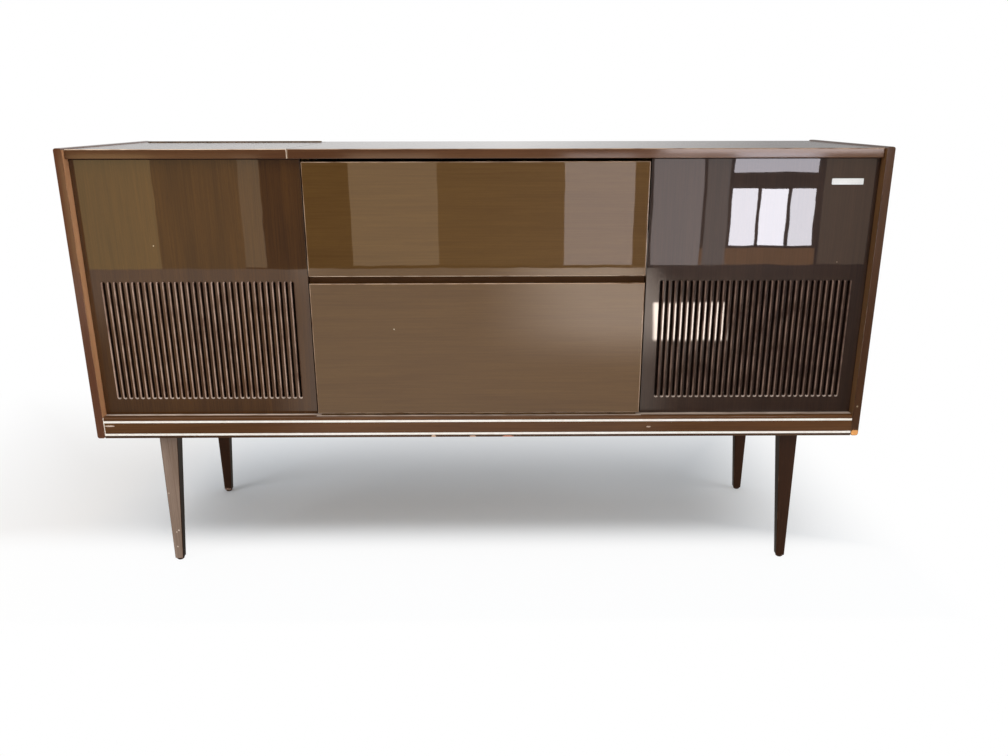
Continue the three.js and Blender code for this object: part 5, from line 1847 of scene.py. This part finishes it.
@dataclass
class Studio:
    """A pale floor, soft lamps, the reflected room and the camera at the photograph's place."""

    camera_at: tuple[float, float, float] = (0.0368, -1.6389, 0.8362)
    pitch: float = 17.49
    yaw: float = 0.385
    roll: float = -0.093
    lens: float = 30.16
    floor_front: float = -3.4
    floor_back: float = 9.0
    floor_half: float = 8.0
    room_at: float = -3.5

    def build(self) -> None:
        """Lays the floor, hangs the lamps and sets the camera."""
        self.floor()
        self.world()
        self.lamp("overhead_softbox", (-0.7, -1.2, 3.2), (0, 0, 0.4), (3.2, 2.4), 2.6)
        self.lamp("left_softbox", (-3.6, -2.2, 1.9), (0, 0, 0.45), (1.8, 1.8), 3.4)
        self.lamp("right_softbox", (2.9, -0.9, 0.8), (-0.3, -0.1, 0.5), (1.8, 1.4), 3.5)
        for card in ROOM:
            middle = ((card.left + card.right) / 2, self.room_at, (card.bottom + card.top) / 2)
            ahead = (middle[0], 0, middle[2])
            size = (card.right - card.left, card.top - card.bottom)
            light = self.lamp(card.name, middle, ahead, size, card.radiance, card.colour)
            light.visible_diffuse = False
            light.visible_transmission = False
        self.camera()

    @staticmethod
    def patch(
        tree: bpy.types.NodeTree, strength: float, *steps: tuple[bpy.types.NodeSocket, float, float]
    ) -> bpy.types.NodeSocket:
        """A patch of brightness on the floor, bounded by soft steps.

        Args:
            tree: The floor's nodes.
            strength: How bright it is inside all its steps.
            *steps: A value, where its step is still 0, and where it is 1.

        Returns:
            The brightness.
        """
        bright: Any = strength
        for value, start, end in steps:
            ends = {0: value, 1: start, 2: end}
            step = add_node(tree, "MapRange", ends, interpolation_type="SMOOTHSTEP")
            bright = add_node(tree, "Math", {0: bright, 1: step}, operation="MULTIPLY")
        return bright

    def floor(self) -> None:
        """A plain pale floor that takes shadows and fades to white away from the cabinet."""
        bpy.ops.object.select_all(action="DESELECT")
        middle = (self.floor_front + self.floor_back) / 2
        bpy.ops.mesh.primitive_plane_add(size=1, location=(0, middle, 0))
        bpy.context.object.scale = (2 * self.floor_half, self.floor_back - self.floor_front, 1)
        floor = Workpiece.adopt("studio_floor")
        material = bpy.data.materials.new("pale_matt_floor")
        material.use_nodes = True
        tree = material.node_tree
        tree.nodes.clear()
        path = add_node(tree, "LightPath").node.outputs
        place = add_node(tree, "TexCoord", output="Object")
        x, y, _ = add_node(tree, "SeparateXYZ", {0: place}).node.outputs
        rays = {0: path["Is Camera Ray"], 1: path["Is Transmission Ray"]}
        seen = add_node(tree, "Math", rays, operation="MAXIMUM")
        # The white share is shaped round the cabinet, so it also sets where the cast shadow ends in front
        # and at the sides: painted light.
        share: Any = 0.0
        for strength, value, start, end in (
            (0.93, y, 0.01, -0.14), (1.0, y, -0.2, -0.4), (1.0, y, 0.15, 0.95),
            (1.0, x, 0.42, 0.9), (1.0, x, -0.85, -1.5),
        ):
            fade = self.patch(tree, strength, (value, start, end))
            share = add_node(tree, "Math", {0: share, 1: fade}, operation="MAXIMUM")
        share = add_node(tree, "Math", {0: seen, 1: share}, operation="MULTIPLY")
        # Painted tint: the floor is bluish, to cancel the warm light that the wood bounces onto it, and
        # neutral far to the left.
        to_left = self.patch(tree, 1.0, (x, -0.5, -0.9))
        tints = {0: to_left, 6: linear("#e9f0f7"), 7: linear("#f4f3f2")}
        tint = add_node(tree, "Mix", tints, 2, data_type="RGBA")
        matt = add_node(tree, "BsdfDiffuse", {"Color": tint})
        white = add_node(tree, "Emission", {"Strength": 1.0})
        plain = add_node(tree, "MixShader", {0: share, 1: matt, 2: white})
        light = {"Color": linear("#ffeee0"), "Strength": self.reflected_floor(tree, place)}
        glare = add_node(tree, "Emission", light)
        both = add_node(tree, "MixShader", {0: path["Is Glossy Ray"], 1: plain, 2: glare})
        add_node(tree, "OutputMaterial", {"Surface": both})
        floor.obj.data.materials.append(material)

    def reflected_floor(self, tree: bpy.types.NodeTree, place: bpy.types.NodeSocket) -> bpy.types.NodeSocket:
        """How bright the lacquer sees the floor: a pool of light in the middle, glare at the right.

        Args:
            tree: The floor's nodes.
            place: The place on the floor.

        Returns:
            The radiance.
        """
        x, y, _ = add_node(tree, "SeparateXYZ", {0: place}).node.outputs
        pool_left, pool_right, sheet_right = (
            add_node(tree, "Math", {0: y, 1: slant, 2: x}, operation="MULTIPLY_ADD")
            for slant in (-0.227, 0.176, 0.258)
        )
        radiance: Any = 0.08
        for strength, *steps in (
            (1.05, (pool_left, -0.42, -0.24), (pool_right, 0.40, 0.24)),
            (3.1, (x, -0.1, 0.5), (x, 1.0, 0.7), (y, -1.4, -2.2)),
            (25, (pool_right, 0.30, 0.32), (sheet_right, 0.45, 0.42), (y, -1.80, -1.86), (y, -2.52, -2.46)),
            (0.9, (x, 0.4, 0.8), (y, -1.0, -0.8)),
            (0.25, (x, 0.9, -0.2)),
            (0.75, (x, -0.8, -1.2), (y, -1.5, -2.8)),
        ):
            patch = self.patch(tree, strength, *steps)
            radiance = add_node(tree, "Math", {0: radiance, 1: patch}, operation="ADD")
        return radiance

    def world(self) -> None:
        """White to the camera, a dim studio to gloss, and an even fill light on everything."""
        world = bpy.data.worlds.new("studio")
        bpy.context.scene.world = world
        world.use_nodes = True
        tree = world.node_tree
        tree.nodes.clear()
        path = add_node(tree, "LightPath").node.outputs
        rays = {0: path["Is Camera Ray"], 1: path["Is Transmission Ray"]}
        seen = add_node(tree, "Math", rays, operation="MAXIMUM")
        way = add_node(tree, "TexCoord", output="Generated")
        across, back, _ = add_node(tree, "SeparateXYZ", {0: way}).node.outputs
        gloss: Any = 1.0
        for value, start, end, first, last in (
            (back, -0.4, 0.6, 0.14, 0.8), (across, -0.35, 0.0, 0.75, 1.0), (across, 0.02, 0.3, 1.0, 0.45),
        ):
            step = add_node(tree, "MapRange", {0: value, 1: start, 2: end, 3: first, 4: last})
            gloss = add_node(tree, "Math", {0: gloss, 1: step}, operation="MULTIPLY")
        fill = add_node(tree, "Mix", {0: path["Is Glossy Ray"], 2: 0.5, 3: gloss}, data_type="FLOAT")
        strength = add_node(tree, "Mix", {0: seen, 2: fill, 3: 1.0}, data_type="FLOAT")
        sky = add_node(tree, "Background", {"Color": (1, 1, 1, 1), "Strength": strength})
        add_node(tree, "OutputWorld", {"Surface": sky})

    @staticmethod
    def lamp(
        name: str, at: tuple[float, float, float], aim: tuple[float, float, float],
        size: tuple[float, float], radiance: float, colour: str = "#ffffff",
    ) -> bpy.types.Object:
        """A rectangular soft lamp.

        Args:
            name: Its name.
            at: Where it stands, in metres.
            aim: The place that it faces.
            size: Its width and height in metres.
            radiance: How bright its face is, where 1 is white.
            colour: Its colour.

        Returns:
            The lamp.
        """
        light = bpy.data.lights.new(name, "AREA")
        light.shape = "RECTANGLE"
        light.size, light.size_y = size
        light.energy = radiance * math.pi * size[0] * size[1]
        light.color = linear(colour)[:3]
        obj = bpy.data.objects.new(name, light)
        bpy.context.collection.objects.link(obj)
        obj.location = at
        obj.rotation_euler = (Vector(aim) - Vector(at)).to_track_quat("-Z", "Y").to_euler()
        obj.visible_camera = False
        return obj

    def camera(self) -> None:
        """The camera, at the photograph's viewing angle."""
        pitch, yaw, roll = (math.radians(angle) for angle in (self.pitch, self.yaw, self.roll))
        ahead = Vector((math.sin(yaw) * math.cos(pitch), math.cos(yaw) * math.cos(pitch), -math.sin(pitch)))
        level = Vector((math.cos(yaw), -math.sin(yaw), 0))
        rise = level.cross(ahead)
        right = level * math.cos(roll) + rise * math.sin(roll)
        up = rise * math.cos(roll) - level * math.sin(roll)
        data = bpy.data.cameras.new("view")
        data.sensor_fit = "HORIZONTAL"
        data.sensor_width = 36
        data.lens = self.lens
        data.clip_start, data.clip_end = 0.05, 100
        camera = bpy.data.objects.new("view", data)
        bpy.context.collection.objects.link(camera)
        turn = Matrix((right, up, -ahead)).transposed().to_4x4()
        camera.matrix_world = Matrix.Translation(self.camera_at) @ turn
        bpy.context.scene.camera = camera
        bpy.context.scene.view_settings.view_transform = "Standard"


def main() -> None:
    """Builds the cabinet piece by piece, then the studio."""
    logging.basicConfig(level=logging.INFO, format="%(name)s: %(message)s")
    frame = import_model()
    Studio().build()
    Case(frame).build()
    GrilleFront("left", UPRIGHT_LEFT, SHOULDER_LEFT, SHOULDER_HIGHLIGHT_LEFT).build()
    GrilleFront("right", UPRIGHT_RIGHT_PAINTED_SHADE, SHOULDER_RIGHT_PAINTED_SHADE, SHOULDER_HIGHLIGHT_RIGHT).build()
    Plinth(frame).build()
    Legs(frame).build()
    Rear(frame).build()
    Badge().build()
    Covers(frame).build()
    RecordPlayer(frame).build()
    Radio(frame).build()


if __name__ == "__main__":
    main()
